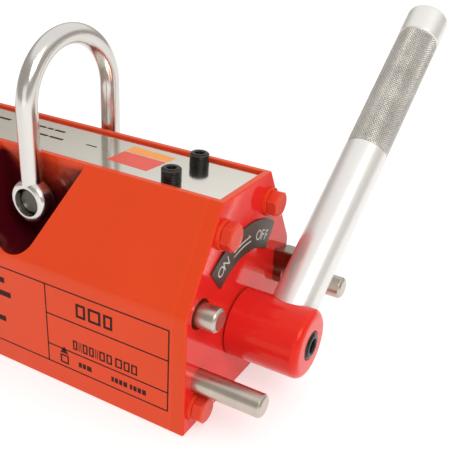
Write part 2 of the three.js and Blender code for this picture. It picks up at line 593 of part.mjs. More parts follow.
function shackleBow() {
  const bar = new THREE.ExtrudeGeometry(round(BOW_RADIUS, 16), { steps: 44, extrudePath: new BowCurve() });
  const eyes = [-1, 1].map((side) => cylinder(axisY, EYE_RADIUS, side * BOW_Y - BOW_RADIUS,
    side * BOW_Y + BOW_RADIUS, [0, 0, SHACKLE_Z], 32));
  const pinHole = cylinder(axisY, SHACKLE_PIN_RADIUS + GAP, -HALF_WIDTH, HALF_WIDTH, [0, 0, SHACKLE_Z]);
  return cut(join(bar, ...eyes), pinHole);
}
add('shackle_bow', shackleBow(), chrome);
add('shackle_pin', turned(axisY, [[-SHACKLE_PIN_END, 0], [-SHACKLE_PIN_END, SHACKLE_PIN_RADIUS - 0.6],
  [-SHACKLE_PIN_END + 0.6, SHACKLE_PIN_RADIUS], [SHACKLE_PIN_END - 0.6, SHACKLE_PIN_RADIUS],
  [SHACKLE_PIN_END, SHACKLE_PIN_RADIUS - 0.6], [SHACKLE_PIN_END, 0]], [0, 0, SHACKLE_Z], 24), steel);

export default lifter;
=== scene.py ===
import json
import math

import bmesh
import bpy
from mathutils import Matrix, Vector


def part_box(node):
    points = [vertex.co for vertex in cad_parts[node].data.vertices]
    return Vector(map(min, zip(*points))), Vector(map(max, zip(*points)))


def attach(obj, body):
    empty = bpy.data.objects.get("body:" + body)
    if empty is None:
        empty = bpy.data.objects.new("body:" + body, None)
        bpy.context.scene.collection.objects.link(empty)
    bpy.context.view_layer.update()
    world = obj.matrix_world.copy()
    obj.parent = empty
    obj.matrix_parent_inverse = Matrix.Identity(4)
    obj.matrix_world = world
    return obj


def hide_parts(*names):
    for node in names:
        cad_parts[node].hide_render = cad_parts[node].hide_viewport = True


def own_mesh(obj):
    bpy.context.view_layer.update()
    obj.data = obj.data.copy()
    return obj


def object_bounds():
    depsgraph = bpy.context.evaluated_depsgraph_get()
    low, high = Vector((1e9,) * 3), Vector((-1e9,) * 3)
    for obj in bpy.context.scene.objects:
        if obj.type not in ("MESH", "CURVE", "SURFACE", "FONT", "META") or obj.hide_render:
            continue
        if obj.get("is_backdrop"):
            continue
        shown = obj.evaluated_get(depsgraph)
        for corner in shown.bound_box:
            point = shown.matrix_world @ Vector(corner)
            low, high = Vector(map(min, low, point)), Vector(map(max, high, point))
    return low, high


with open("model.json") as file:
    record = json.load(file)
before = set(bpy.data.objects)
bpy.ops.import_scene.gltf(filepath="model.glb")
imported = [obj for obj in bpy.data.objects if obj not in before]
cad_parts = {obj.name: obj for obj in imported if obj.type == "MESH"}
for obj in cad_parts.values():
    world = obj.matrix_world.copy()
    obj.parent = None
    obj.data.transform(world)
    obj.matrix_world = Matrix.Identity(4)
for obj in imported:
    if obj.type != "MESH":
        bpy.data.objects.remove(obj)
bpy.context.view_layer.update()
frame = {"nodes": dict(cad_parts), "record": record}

# Lever-operated permanent magnetic lifter. Metres, +X along the rotor axis, +Z up.
MM = 0.001
AXES = {"X": Vector((1, 0, 0)), "Y": Vector((0, 1, 0)), "Z": Vector((0, 0, 1))}

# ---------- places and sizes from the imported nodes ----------
plate_low, plate_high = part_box("front_end_plate")
FRONT = plate_high.x
PLATE_INNER = plate_low.x
HALF_WIDTH = plate_high.y
HEIGHT = plate_high.z
POLE_INNER_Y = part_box("right_pole")[0].y
LABEL_LOW, LABEL_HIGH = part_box("top_label_plate")
LABEL_CLEARANCE = 0.3 * MM
TRAY_FLOOR = LABEL_LOW.z - LABEL_CLEARANCE
TRAY_HALF_WIDTH = LABEL_HIGH.y + LABEL_CLEARANCE
TRAY_END = LABEL_HIGH.x + LABEL_CLEARANCE
SLIVER = 0.002 * MM  # shorter edges are welded away
SEAM = 0.01 * MM  # left between two painted faces that meet
FACE_GAP = 0.02 * MM  # left under a part that lies on the front face
OVERRUN = 4 * MM  # how far a cutter runs past a face


def middle(node):
    low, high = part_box(node)
    return (low + high) / 2


def on_end_plane(node):
    """The node's middle, moved along the rotor axis to x = 0."""
    place = middle(node)
    place.x = 0
    return place


def half_height(node):
    low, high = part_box(node)
    return (high.z - low.z) / 2


ROTOR = on_end_plane("front_bush")
BORE_RADIUS = 24 * MM
SLOPE_Z = 53 * MM  # where the upright sides turn into the sloped ones
TOP_HALF_WIDTH = 19.3 * MM
HANDLE_ROOT = Vector((FRONT + 18.5 * MM, 0, ROTOR.z))
HANDLE_ANGLE = math.radians(40)  # from +Y towards +Z
HANDLE_LEAN = math.radians(1.8)
HANDLE_DIRECTION = Vector((
    math.sin(HANDLE_LEAN),
    math.cos(HANDLE_ANGLE) * math.cos(HANDLE_LEAN),
    math.sin(HANDLE_ANGLE) * math.cos(HANDLE_LEAN),
))
SHACKLE_Z = middle("shackle_pin").z


# ---------- mesh helpers ----------
def piece_from(name, bm, sharp=35):
    """A new piece from a bmesh, smooth but for edges sharper than `sharp` degrees."""
    bmesh.ops.recalc_face_normals(bm, faces=bm.faces)
    if bm.calc_volume(signed=True) < 0:
        bmesh.ops.reverse_faces(bm, faces=bm.faces)
    mesh = bpy.data.meshes.new(name)
    bm.to_mesh(mesh)
    bm.free()
    piece = bpy.data.objects.new(name, mesh)
    bpy.context.scene.collection.objects.link(piece)
    shade(piece, sharp)
    return piece


def shade(piece, sharp=35):
    piece.data.shade_smooth()
    piece.data.set_sharp_from_angle(angle=math.radians(sharp))


def circle(bm, radius, along, segments):
    """Vertices round the Z axis at height `along`."""
    return [bm.verts.new((
        radius * math.cos(2 * math.pi * i / segments),
        radius * math.sin(2 * math.pi * i / segments),
        along,
    )) for i in range(segments)]


def skin(bm, first, second):
    """Faces between two loops of as many vertices."""
    for i in range(len(first)):
        j = (i + 1) % len(first)
        bm.faces.new((first[i], first[j], second[j], second[i]))


def aim(axis, centre):
    """The move that lays the Z axis along `axis` and its origin at `centre`."""
    return Matrix.Translation(centre) @ AXES["Z"].rotation_difference(axis).to_matrix().to_4x4()


def revolved(profile, axis, centre, segments=64):
    """A turned solid. `profile` is [(place along the axis, radius)] from end to end, in metres."""
    bm = bmesh.new()
    rings = [circle(bm, radius, along, segments) if radius > 0 else [bm.verts.new((0, 0, along))]
             for along, radius in profile]
    for first, second in zip(rings, rings[1:]):
        for i in range(segments):
            j = (i + 1) % segments
            corners = [first[i % len(first)], first[j % len(first)],
                       second[j % len(second)], second[i % len(second)]]
            unique = list(dict.fromkeys(corners))
            if len(unique) > 2:
                bm.faces.new(unique)
    bm.transform(aim(axis, centre))
    return bm


def ring(profile, axis, centre, segments=64):
    """A turned solid with a hole through it: `profile` is a closed loop of (along, radius)."""
    bm = bmesh.new()
    rings = [circle(bm, radius, along, segments) for along, radius in profile]
    for k, first in enumerate(rings):
        skin(bm, first, rings[(k + 1) % len(rings)])
    bm.transform(aim(axis, centre))
    return bm


def prism(outline, axis, start, end):
    """An outline pushed along an axis: of (y, z) corners for X, (x, z) for Y, (x, y) for Z."""
    place = {
        "X": lambda u, v, w: (w, u, v),
        "Y": lambda u, v, w: (u, w, v),
        "Z": lambda u, v, w: (u, v, w),
    }[axis]
    bm = bmesh.new()
    first = [bm.verts.new(place(u, v, start)) for u, v in outline]
    second = [bm.verts.new(place(u, v, end)) for u, v in outline]
    bm.faces.new(first)
    bm.faces.new(second)
    skin(bm, first, second)
    return bm


def rounded(corners, steps=6):
    """A closed outline through (u, v, radius) corners, each rounded by an arc of its radius."""
    outline = []
    for i, (u, v, radius) in enumerate(corners):
        corner = Vector((u, v))
        if radius <= 0:
            outline.append((u, v))
            continue
        before = (Vector(corners[i - 1][:2]) - corner).normalized()
        after = (Vector(corners[(i + 1) % len(corners)][:2]) - corner).normalized()
        half = before.angle(after) / 2
        reach = radius / math.tan(half)
        centre = corner + (before + after).normalized() * (radius / math.sin(half))
        enter = corner + before * reach - centre
        leave = corner + after * reach - centre
        sweep = enter.angle_signed(leave)
        for k in range(steps + 1):
            turned = enter.copy()
            turned.rotate(Matrix.Rotation(-sweep * k / steps, 2))
            outline.append(tuple(centre + turned))
    return outline


def rod(axis, radius, start, end, centre, segments=48):
    """A plain round cutter."""
    return revolved([(start, 0), (start, radius), (end, radius), (end, 0)], axis, centre, segments)


def round_edge(end, side, radius, steps):
    """A quarter circle in a turned profile, from the side to the end."""
    turns = [math.radians(90 * k / steps) for k in range(steps + 1)]
    return [(end - radius + radius * math.sin(turn), side - radius + radius * math.cos(turn))
            for turn in turns]


def round_bar(stations, radius, sides):
    """A bent round bar through stations of (centre, direction across, second direction across)."""
    bm = bmesh.new()
    turns = [2 * math.pi * i / sides for i in range(sides)]
    rings = [[bm.verts.new(centre + across * radius * math.cos(turn) + upward * radius * math.sin(turn))
              for turn in turns] for centre, across, upward in stations]
    for first, second in zip(rings, rings[1:]):
        skin(bm, first, second)
    bm.faces.new(rings[0])
    bm.faces.new(rings[-1])
    return bm


def settle(piece):
    """Applies the piece's modifiers to its mesh."""
    graph = bpy.context.evaluated_depsgraph_get()
    mesh = bpy.data.meshes.new_from_object(piece.evaluated_get(graph))
    piece.modifiers.clear()
    piece.data = mesh


def weld(piece):
    """Closes the slivers that a cut leaves."""
    bm = bmesh.new()
    bm.from_mesh(piece.data)
    bmesh.ops.remove_doubles(bm, verts=bm.verts, dist=SLIVER)
    bmesh.ops.dissolve_degenerate(bm, dist=SLIVER, edges=bm.edges)
    bm.to_mesh(piece.data)
    bm.free()


def combine(piece, operation, *tools):
    """Cuts, joins or intersects the piece with each tool, a bmesh."""
    for tool in tools:
        other = piece_from("tool", tool)
        modifier = piece.modifiers.new("combine", "BOOLEAN")
        modifier.operation = operation
        modifier.solver = "EXACT"
        modifier.object = other
        settle(piece)
        bpy.data.objects.remove(other)
        weld(piece)
    shade(piece)


def together(*tools):
    """One bmesh of several that don't touch."""
    whole = bmesh.new()
    for tool in tools:
        mesh = bpy.data.meshes.new("part")
        tool.to_mesh(mesh)
        tool.free()
        whole.from_mesh(mesh)
        bpy.data.meshes.remove(mesh)
    return whole


def soften(piece, width, wanted=lambda edge: True, segments=3, sharpest=35):
    """Rounds the piece's sharp edges that `wanted` accepts."""
    bm = bmesh.new()
    bm.from_mesh(piece.data)
    bmesh.ops.remove_doubles(bm, verts=bm.verts, dist=SLIVER)
    edges = [edge for edge in bm.edges
             if len(edge.link_faces) == 2
             and edge.calc_face_angle(0) > math.radians(sharpest)
             and wanted(edge)]
    bmesh.ops.bevel(bm, geom=edges, offset=width, segments=segments, profile=0.5,
                    affect="EDGES", clamp_overlap=True)
    bm.to_mesh(piece.data)
    bm.free()
    weld(piece)
    shade(piece)


def keep_flats(piece):
    """Flat faces keep their own direction, so that only the rounded edges between them blend."""
    piece.modifiers.new("flats", "WEIGHTED_NORMAL").keep_sharp = True
    settle(piece)


def on_plane(edge, axis, place):
    near = 0.05 * MM
    return all(abs(vert.co[axis] - place) < near for vert in edge.verts)


def hexagon(flats):
    corner = flats / math.sqrt(3)
    return [(corner * math.cos(math.radians(60 * k)), corner * math.sin(math.radians(60 * k)))
            for k in range(6)]


# ---------- materials ----------
HIGHLIGHT_REACH = 0.7 * MM  # how far from an edge the painted highlight reaches
BLUNT, KEEN = 0.995, 0.9  # how alike the true and the softened normal are, without and with the full painted edge highlight
SHADE_REACH = 60 * MM
OPEN, HOLLOW = 0.99, 0.8  # ambient occlusion with no painted shade and with all of it
SHADE_TOP = HEIGHT - 1.5 * MM  # the painted shade fades out between these heights
SHADE_FULL = HEIGHT - 4 * MM
# colour of the painted shade in the body's deep hollows
PAINTED_SHADE = (0.055, 0.002, 0.005)
RELIEF_DEPTH = 0.05 * MM


def node(tree, kind, **inputs):
    made = tree.nodes.new(kind)
    for name, value in inputs.items():
        made.inputs[name.replace("_", " ")].default_value = value
    return made


def worked(tree, kind, operation, first, second):
    """A maths node's output from two linked values."""
    made = tree.nodes.new(kind)
    made.operation = operation
    tree.links.new(first, made.inputs[0])
    tree.links.new(second, made.inputs[1])
    return made.outputs["Value"]


def spread(tree, value, **limits):
    """The value moved from one range to another."""
    made = node(tree, "ShaderNodeMapRange", **limits)
    tree.links.new(value, made.inputs["Value"])
    return made.outputs["Result"]


def parted(tree, vector, axis):
    made = tree.nodes.new("ShaderNodeSeparateXYZ")
    tree.links.new(vector, made.inputs["Vector"])
    return made.outputs[axis]


def mixed(tree, factor, first, second):
    """A mix of two colours, each a plain one or another node's output."""
    mix = tree.nodes.new("ShaderNodeMix")
    mix.data_type = "RGBA"
    tree.links.new(factor, mix.inputs["Factor"])
    for socket, colour in (("A", first), ("B", second)):
        if isinstance(colour, tuple):
            mix.inputs[socket].default_value = (*colour, 1)
        else:
            tree.links.new(colour, mix.inputs[socket])
    return mix.outputs["Result"]


def noise(tree, vector, scale, detail):
    made = node(tree, "ShaderNodeTexNoise", Scale=scale, Detail=detail)
    tree.links.new(vector, made.inputs["Vector"])
    return made.outputs["Fac"]


def surface(name, colour, roughness, metallic=0.0, *, vary=0.06, vary_scale=90, rough_vary=0.05,
            rough_scale=500, bump=0.1, bump_scale=2500, stretch=(1, 1, 1), tint=None, wear=None,
            grime=False, ior=1.5, flank=None):
    """A finish with drifting colour, uneven gloss and a fine relief. The tint colours the reflections, the
    edge colour is a painted highlight on thin edges, the hollow option darkens deep hollows with painted
    shade, and the flank colour goes on faces that don't look along X, while faces that look along X keep the
    base colour."""
    material = bpy.data.materials.new(name)
    material.use_nodes = True
    tree = material.node_tree
    link = tree.links.new
    shader = tree.nodes["Principled BSDF"]
    shader.inputs["Metallic"].default_value = metallic
    shader.inputs["IOR"].default_value = ior
    if tint:
        shader.inputs["Specular Tint"].default_value = (*tint, 1)
    place = tree.nodes.new("ShaderNodeTexCoord").outputs["Object"]
    mapping = node(tree, "ShaderNodeMapping", Scale=stretch)
    link(place, mapping.inputs["Vector"])
    grain = mapping.outputs["Vector"]

    shades = tree.nodes.new("ShaderNodeValToRGB")
    darker, lighter = shades.color_ramp.elements
    darker.position, lighter.position = 0.3, 0.7
    darker.color = (*[c * (1 - vary) for c in colour], 1)
    lighter.color = (*[min(1, c * (1 + vary)) for c in colour], 1)
    link(noise(tree, grain, vary_scale, 4.0), shades.inputs["Fac"])
    base = shades.outputs["Color"]
    normal = tree.nodes.new("ShaderNodeNewGeometry").outputs["Normal"]
    # faces that look along X keep the base colour and the others take the flank colour; a deeper base there
    # is painted shade and reflection
    if flank:
        front_shade_mask = spread(tree, parted(tree, normal, "X"), From_Min=0.5, From_Max=0.95)
        base = mixed(tree, front_shade_mask, flank, base)
    # thin edges get a lighter colour: a painted highlight
    if wear:
        softened = node(tree, "ShaderNodeBevel", Radius=HIGHLIGHT_REACH)
        softened.samples = 4
        turn = worked(tree, "ShaderNodeVectorMath", "DOT_PRODUCT", normal, softened.outputs["Normal"])
        base = mixed(tree, spread(tree, turn, From_Min=BLUNT, From_Max=KEEN), base, wear)
    # deep hollows of the body get darker by ambient occlusion: painted shade
    if grime:
        hollow = node(tree, "ShaderNodeAmbientOcclusion", Distance=SHADE_REACH)
        hollow.samples = 8
        hollow.only_local = True
        depth = spread(tree, hollow.outputs["AO"], From_Min=HOLLOW, From_Max=OPEN, To_Min=1.0, To_Max=0.0)
        below = spread(tree, parted(tree, place, "Z"), From_Min=SHADE_FULL, From_Max=SHADE_TOP,
                       To_Min=1.0, To_Max=0.0)
        base = mixed(tree, worked(tree, "ShaderNodeMath", "MULTIPLY", depth, below), base, PAINTED_SHADE)
    link(base, shader.inputs["Base Color"])

    gloss = spread(tree, noise(tree, grain, rough_scale, 3.0),
                   To_Min=max(0.02, roughness - rough_vary), To_Max=roughness + rough_vary)
    link(gloss, shader.inputs["Roughness"])

    height = node(tree, "ShaderNodeBump", Strength=bump, Distance=RELIEF_DEPTH)
    link(noise(tree, grain, bump_scale, 2.0), height.inputs["Height"])
    link(height.outputs["Normal"], shader.inputs["Normal"])
    return material


def paint(name, colour, roughness, **finish):
    """A glossy red paint."""
    finish = {"tint": (1, 0.45, 0.2), "vary": 0.03, "vary_scale": 30, "rough_vary": 0.03,
              "bump": 0.05, "bump_scale": 700, **finish}
    return surface(name, colour, roughness, **finish)


FINISHES = {
    # the body paint's darkened hollows are painted shade, and its lighter thin edges a painted highlight
    "body_paint": paint("body_paint", (0.69, 0.060, 0.017), 0.1, ior=1.43, tint=(1, 0.4, 0.2), vary=0.025,
                        grime=True, bump=0.06, bump_scale=900, wear=(0.8, 0.07, 0.015)),
    # the plate's front keeps a deep crimson base that is painted shade and red reflection, its other faces
    # the orange flank colour, and its thin edges a painted highlight
    "plate_paint": paint("plate_paint", (0.70, 0.018, 0.015), 0.07, ior=1.4, flank=(0.675, 0.056, 0.014),
                         wear=(0.78, 0.05, 0.015)),
    "chrome": surface("chrome", (0.66, 0.635, 0.605), 0.2, 1.0, vary=0.02, vary_scale=60,
                      rough_vary=0.03, rough_scale=260, bump=0.0),
    "pin_steel": surface("pin_steel", (0.53, 0.475, 0.41), 0.3, 1.0, vary=0.08, vary_scale=120,
                         rough_vary=0.06, bump_scale=1400, stretch=(1, 0.04, 0.04)),
    "spring_steel": surface("spring_steel", (0.5, 0.5, 0.5), 0.3, 1.0),
    "rotor_steel": surface("rotor_steel", (0.55, 0.55, 0.54), 0.32, 1.0, bump=0.2, stretch=(0.05, 1, 1)),
    # the black steel's lighter edges are a painted highlight
    "black_steel": surface("black_steel", (0.008, 0.0078, 0.007), 0.3, ior=1.35, vary=0.3, vary_scale=300,
                           rough_vary=0.08, bump=0.15, bump_scale=1800, wear=(0.09, 0.085, 0.075)),
    "brass": surface("brass", (0.74, 0.52, 0.2), 0.28, 1.0, bump=0.15, stretch=(0.05, 1, 1)),
    "bronze": surface("bronze", (0.5, 0.31, 0.14), 0.4, 1.0, vary=0.15, vary_scale=700),
    "magnet": surface("magnet", (0.1, 0.1, 0.105), 0.5, 0.6, vary=0.15, vary_scale=400, bump=0.3),
    "label_silver": surface("label_silver", (0.80, 0.77, 0.70), 0.13, 1.0, vary=0.03, vary_scale=40,
                            rough_vary=0.03, rough_scale=200, bump=0.0, stretch=(0.15, 1, 1)),
    "dial_dark": surface("dial_dark", (0.042, 0.031, 0.022), 0.3, 0.2, vary=0.15, vary_scale=500, bump=0.05),
}
# a deeper crimson copy of the red paint for the hub: the crimson is painted shade and reflection
shaded_hub_paint = paint("shaded_hub_paint", (0.69, 0.019, 0.016), 0.12, ior=1.43)
# the bolt paint's lighter edges are a painted highlight
bolt_paint = paint("bolt_paint", (0.65, 0.046, 0.024), 0.12, ior=1.4, wear=(0.74, 0.08, 0.03))
print_light = surface("print_light", (0.52, 0.50, 0.46), 0.4, vary=0.05, vary_scale=900)
print_dark = surface("print_dark", (0.035, 0.006, 0.004), 0.55, vary=0.2, vary_scale=900, ior=1.25)
patch_orange = surface("patch_orange", (0.84, 0.30, 0.035), 0.3, vary=0.04, vary_scale=300)
patch_red = surface("patch_red", (0.72, 0.06, 0.03), 0.3, vary=0.04, vary_scale=300)
satin_chrome = surface("satin_chrome", (0.77, 0.755, 0.73), 0.3, 0.62, vary=0.015, vary_scale=60,
                       rough_vary=0.0, bump=0.0)
dark_steel = surface("dark_steel", (0.11, 0.105, 0.09), 0.35, 1.0)
stop_steel = surface("stop_steel", (0.24, 0.19, 0.14), 0.3, 1.0, vary=0.15, vary_scale=200, bump=0.15)
knurl_steel = surface("knurl_steel", (0.60, 0.585, 0.55), 0.33, 1.0, vary=0.1, vary_scale=110,
                      rough_vary=0.1, rough_scale=700)

slot_of = {part["node"]: part["material_slot"] for part in frame["record"]["subparts"]}
for name, cad_node in frame["nodes"].items():
    cad_node.data.materials.clear()
    cad_node.data.materials.append(FINISHES[slot_of[name]])


def finish(piece, body, *nodes, material=None, slot=None):
    """Puts a piece on its body in place of its CAD nodes, with its finish."""
    keep_flats(piece)
    slot = slot or slot_of[nodes[0]]
    piece.data.materials.clear()
    piece.data.materials.append(material or FINISHES[slot])
    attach(piece, body)
    if nodes:
        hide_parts(*nodes)
    return piece


HALF_TURN = Matrix.Rotation(math.pi, 4, "Z")  # from the front end to the rear, and from right to left


# ---------- poles ----------
FOOT_ROUND = 0.8 * MM
SHOULDER_ROUND = 7 * MM
TOP_ROUND = 0.9 * MM
TRAY_ROUND = 0.35 * MM
SHACKLE_HOLE = 5.9 * MM
TOP_SCREW_HOLE = 4.3 * MM
TOP_SCREW_BOTTOM = 73 * MM
BOLT_HOLE = 3.3 * MM
BOLT_DEPTH = 23 * MM
POCKET_DEPTH = 26 * MM
STOP_POCKET = 5 * MM
BUTTON_POCKET = 7.2 * MM


def bolt_places():
    return [on_end_plane(f"front_bolt_{i}") for i in range(1, 5)]


def pole_outline():
    bore_half = math.asin(POLE_INNER_Y / BORE_RADIUS)
    outline = rounded([
        (POLE_INNER_Y, 0, 0),
        (HALF_WIDTH, 0, FOOT_ROUND),
        (HALF_WIDTH, SLOPE_Z, SHOULDER_ROUND),
        (TOP_HALF_WIDTH, HEIGHT, TOP_ROUND),
        (TRAY_HALF_WIDTH, HEIGHT, TRAY_ROUND),
        (TRAY_HALF_WIDTH, TRAY_FLOOR, 0),
        (POLE_INNER_Y, TRAY_FLOOR, 0),
    ], steps=8)
    steps = 48
    for k in range(steps + 1):
        angle = math.pi / 2 - bore_half - (math.pi - 2 * bore_half) * k / steps
        outline.append((BORE_RADIUS * math.cos(angle), ROTOR.z + BORE_RADIUS * math.sin(angle)))
    return outline


NOTCH_LEAN = math.radians(23.5)
NOTCH_REACH = 13.8 * MM  # from the shackle's axis to the notch's wall
NOTCH_ROUND_Z = 64.5 * MM  # centre of the notch's round bottom
NOTCH_OUTSIDE = HALF_WIDTH + 5 * MM
NOTCH_EDGE_ROUND = 0.9 * MM
NOTCH_HALF_LENGTH = 30 * MM  # the notch's edges lie within this, above NOTCH_LOWEST
NOTCH_LOWEST = 40 * MM  # and outside NOTCH_INNER
NOTCH_INNER = TRAY_HALF_WIDTH + 0.5 * MM


def notch_wall(z):
    return NOTCH_REACH / math.cos(NOTCH_LEAN) + (z - SHACKLE_Z) * math.tan(NOTCH_LEAN)


def notch_outline():
    top = HEIGHT + OVERRUN
    radius = notch_wall(NOTCH_ROUND_Z) * math.cos(NOTCH_LEAN)
    outline = [(notch_wall(top), top), (-notch_wall(top), top)]
    steps = 24
    for k in range(steps + 1):
        angle = math.pi + NOTCH_LEAN + (math.pi - 2 * NOTCH_LEAN) * k / steps
        outline.append((radius * math.cos(angle), NOTCH_ROUND_Z + radius * math.sin(angle)))
    return outline


def pole(side):
    name = "right_pole" if side > 0 else "left_pole"
    bm = prism(pole_outline(), "X", SEAM - PLATE_INNER, PLATE_INNER - SEAM)
    if side < 0:
        bm.transform(HALF_TURN)
    piece = piece_from(name + "_casting", bm)
    combine(piece, "DIFFERENCE", prism(notch_outline(), "Y", side * TOP_HALF_WIDTH, side * NOTCH_OUTSIDE))

    def notch_edge(edge):
        return all(abs(vert.co.x) < NOTCH_HALF_LENGTH and vert.co.z > NOTCH_LOWEST
                   and side * vert.co.y > NOTCH_INNER for vert in edge.verts)
    soften(piece, NOTCH_EDGE_ROUND, notch_edge, segments=4)
    holes = [rod(AXES["Y"], SHACKLE_HOLE, -HALF_WIDTH, HALF_WIDTH, Vector((0, 0, SHACKLE_Z)))]
    screw = middle("right_top_set_screw" if side > 0 else "left_top_set_screw")
    screw.z = 0
    holes.append(rod(AXES["Z"], TOP_SCREW_HOLE, TOP_SCREW_BOTTOM, HEIGHT + MM, screw))
    for place in bolt_places():
        if place.y * side > 0:
            holes.append(rod(AXES["X"], BOLT_HOLE, FRONT - BOLT_DEPTH, FRONT + OVERRUN, place))
            holes.append(rod(AXES["X"], BOLT_HOLE, -FRONT - OVERRUN, BOLT_DEPTH - FRONT, place))
    pockets = ([("off_stop_pin", STOP_POCKET)] if side > 0
               else [("on_stop_pin", STOP_POCKET), ("safety_button", BUTTON_POCKET)])
    for pin, radius in pockets:
        holes.append(rod(AXES["X"], radius, FRONT - POCKET_DEPTH, FRONT + OVERRUN, on_end_plane(pin)))
    combine(piece, "DIFFERENCE", together(*holes))
    finish(piece, "body", name)


pole(-1)
pole(1)


# ---------- end plates ----------
FACE_ROUND = 1.3 * MM
RIM_ROUND = 0.35 * MM
BUSH_HOLE = 14.05 * MM
REAR_BUSH_DEPTH = 4.5 * MM
STOP_HOLE = 4.8 * MM
BUTTON_HOLE = 6.1 * MM
BUTTON_HOLE_NEAR = 0.2 * MM  # how far from its circle a corner of the button's hole may lie


def plate_outline():
    return rounded([
        (-HALF_WIDTH, 0, FOOT_ROUND), (HALF_WIDTH, 0, FOOT_ROUND), (HALF_WIDTH, SLOPE_Z, SHOULDER_ROUND),
        (TOP_HALF_WIDTH, HEIGHT, TOP_ROUND), (-TOP_HALF_WIDTH, HEIGHT, TOP_ROUND),
        (-HALF_WIDTH, SLOPE_Z, SHOULDER_ROUND),
    ], steps=8)


def end_plate(front):
    """Both plates are made at the front end, and the rear one is turned round at last."""
    bm = prism(plate_outline(), "X", PLATE_INNER + SEAM, FRONT)
    name = "front_end_plate" if front else "rear_end_plate"
    piece = piece_from(name + "_cover", bm)
    soften(piece, FACE_ROUND, lambda edge: on_plane(edge, 0, FRONT), segments=5)
    cut_from, cut_to = PLATE_INNER - OVERRUN, FRONT + MM
    tray = prism([(-TRAY_HALF_WIDTH, TRAY_FLOOR), (TRAY_HALF_WIDTH, TRAY_FLOOR),
                  (TRAY_HALF_WIDTH, HEIGHT + MM), (-TRAY_HALF_WIDTH, HEIGHT + MM)],
                 "X", cut_from, TRAY_END)
    combine(piece, "DIFFERENCE", tray)

    def tray_rim(edge):
        return on_plane(edge, 2, HEIGHT) and max(abs(vert.co.y) for vert in edge.verts) < TOP_HALF_WIDTH - MM
    soften(piece, RIM_ROUND, tray_rim, segments=2)
    holes = [rod(AXES["X"], BOLT_HOLE, cut_from, cut_to, place) for place in bolt_places()]
    if front:
        holes.append(rod(AXES["X"], BUSH_HOLE, cut_from, cut_to, ROTOR, 64))
        for pin, radius in (("on_stop_pin", STOP_HOLE), ("off_stop_pin", STOP_HOLE),
                            ("safety_button", BUTTON_HOLE)):
            holes.append(rod(AXES["X"], radius, cut_from, cut_to, on_end_plane(pin)))
    else:
        holes.append(rod(AXES["X"], BUSH_HOLE, cut_from, PLATE_INNER + REAR_BUSH_DEPTH, ROTOR, 64))
    combine(piece, "DIFFERENCE", together(*holes))
    if front:
        place = middle("safety_button")

        def button_rim(edge):
            return on_plane(edge, 0, FRONT) and all(
                abs((vert.co - place).yz.length - BUTTON_HOLE) < BUTTON_HOLE_NEAR for vert in edge.verts)
        soften(piece, RIM_ROUND, button_rim, segments=2)
    else:
        piece.data.transform(HALF_TURN)
    finish(piece, "body", name)


end_plate(True)
end_plate(False)


# ---------- bolts and washers ----------
washer_low, washer_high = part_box("front_washer_1")
bolt_low, bolt_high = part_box("front_bolt_1")
HEAD_START = washer_high.x + FACE_GAP
HEAD_END = bolt_high.x
HEAD_FLATS = 10 * MM
HEAD_TOP_RADIUS = HEAD_FLATS * 0.46
HEAD_SKIRT = HEAD_FLATS / math.sqrt(3) + 0.3 * MM  # just outside the corners
HEAD_CHAMFER = math.radians(30)
HEAD_ROUND = 0.3 * MM
HEAD_TURNS = (7, 38, 12, 24)  # how far each head is turned, degrees
SHANK_RADIUS = 3 * MM
WASHER_INNER = washer_low.x - 0.28 * MM
WASHER_HOLE = 3.1 * MM
WASHER_RADIUS = 6 * MM
WASHER_ROUND = 0.25 * MM
WASHER_BEVEL = 0.07 * MM  # the middle corner of the washer's rounded rim


def bolt_bmesh():
    """A hexagon bolt on the rotor's line, its head chamfered at 30 degrees and its painted edges soft."""
    head = piece_from("head", prism(hexagon(HEAD_FLATS), "X", HEAD_START, HEAD_END))
    drop = (HEAD_SKIRT - HEAD_TOP_RADIUS) * math.tan(HEAD_CHAMFER)
    crown = revolved([(HEAD_START - MM, 0), (HEAD_START - MM, HEAD_SKIRT), (HEAD_END - drop, HEAD_SKIRT),
                      (HEAD_END, HEAD_TOP_RADIUS), (HEAD_END, 0)], AXES["X"], Vector(), 96)
    combine(head, "INTERSECT", crown)
    soften(head, HEAD_ROUND, sharpest=25)
    combine(head, "UNION",
            rod(AXES["X"], SHANK_RADIUS, bolt_low.x, HEAD_START + 0.5 * MM, Vector(), 24))
    bm = bmesh.new()
    bm.from_mesh(head.data)
    bpy.data.objects.remove(head)
    return bm


def washer_bmesh(place):
    outer, rim = washer_high.x, WASHER_RADIUS
    return ring([(WASHER_INNER, WASHER_HOLE), (WASHER_INNER, rim), (outer - WASHER_ROUND, rim),
                 (outer - WASHER_BEVEL, rim - WASHER_BEVEL), (outer, rim - WASHER_ROUND),
                 (outer, WASHER_HOLE)], AXES["X"], place)


bolt_shape = bolt_bmesh()
for i, place in enumerate(bolt_places(), 1):
    for end in ("front", "rear"):
        bolt = bolt_shape.copy()
        bolt.transform(Matrix.Translation(place) @ Matrix.Rotation(math.radians(HEAD_TURNS[i - 1]), 4, "X"))
        washer = washer_bmesh(place)
        if end == "rear":
            bolt.transform(HALF_TURN)
            washer.transform(HALF_TURN)
        finish(piece_from(f"{end}_hex_bolt_{i}", bolt, 30), "body", f"{end}_bolt_{i}",
               material=bolt_paint)
        finish(piece_from(f"{end}_flat_washer_{i}", washer), "body", f"{end}_washer_{i}")
bolt_shape.free()


# ---------- label plate, its print and the two set screws ----------
LABEL_ROUND = 1.2 * MM
SHEET_EDGE = 0.12 * MM  # rounding of a thin sheet's outer edge
LABEL_HOLE = 4.06 * MM
INK = 0.03 * MM  # thickness of printed marks

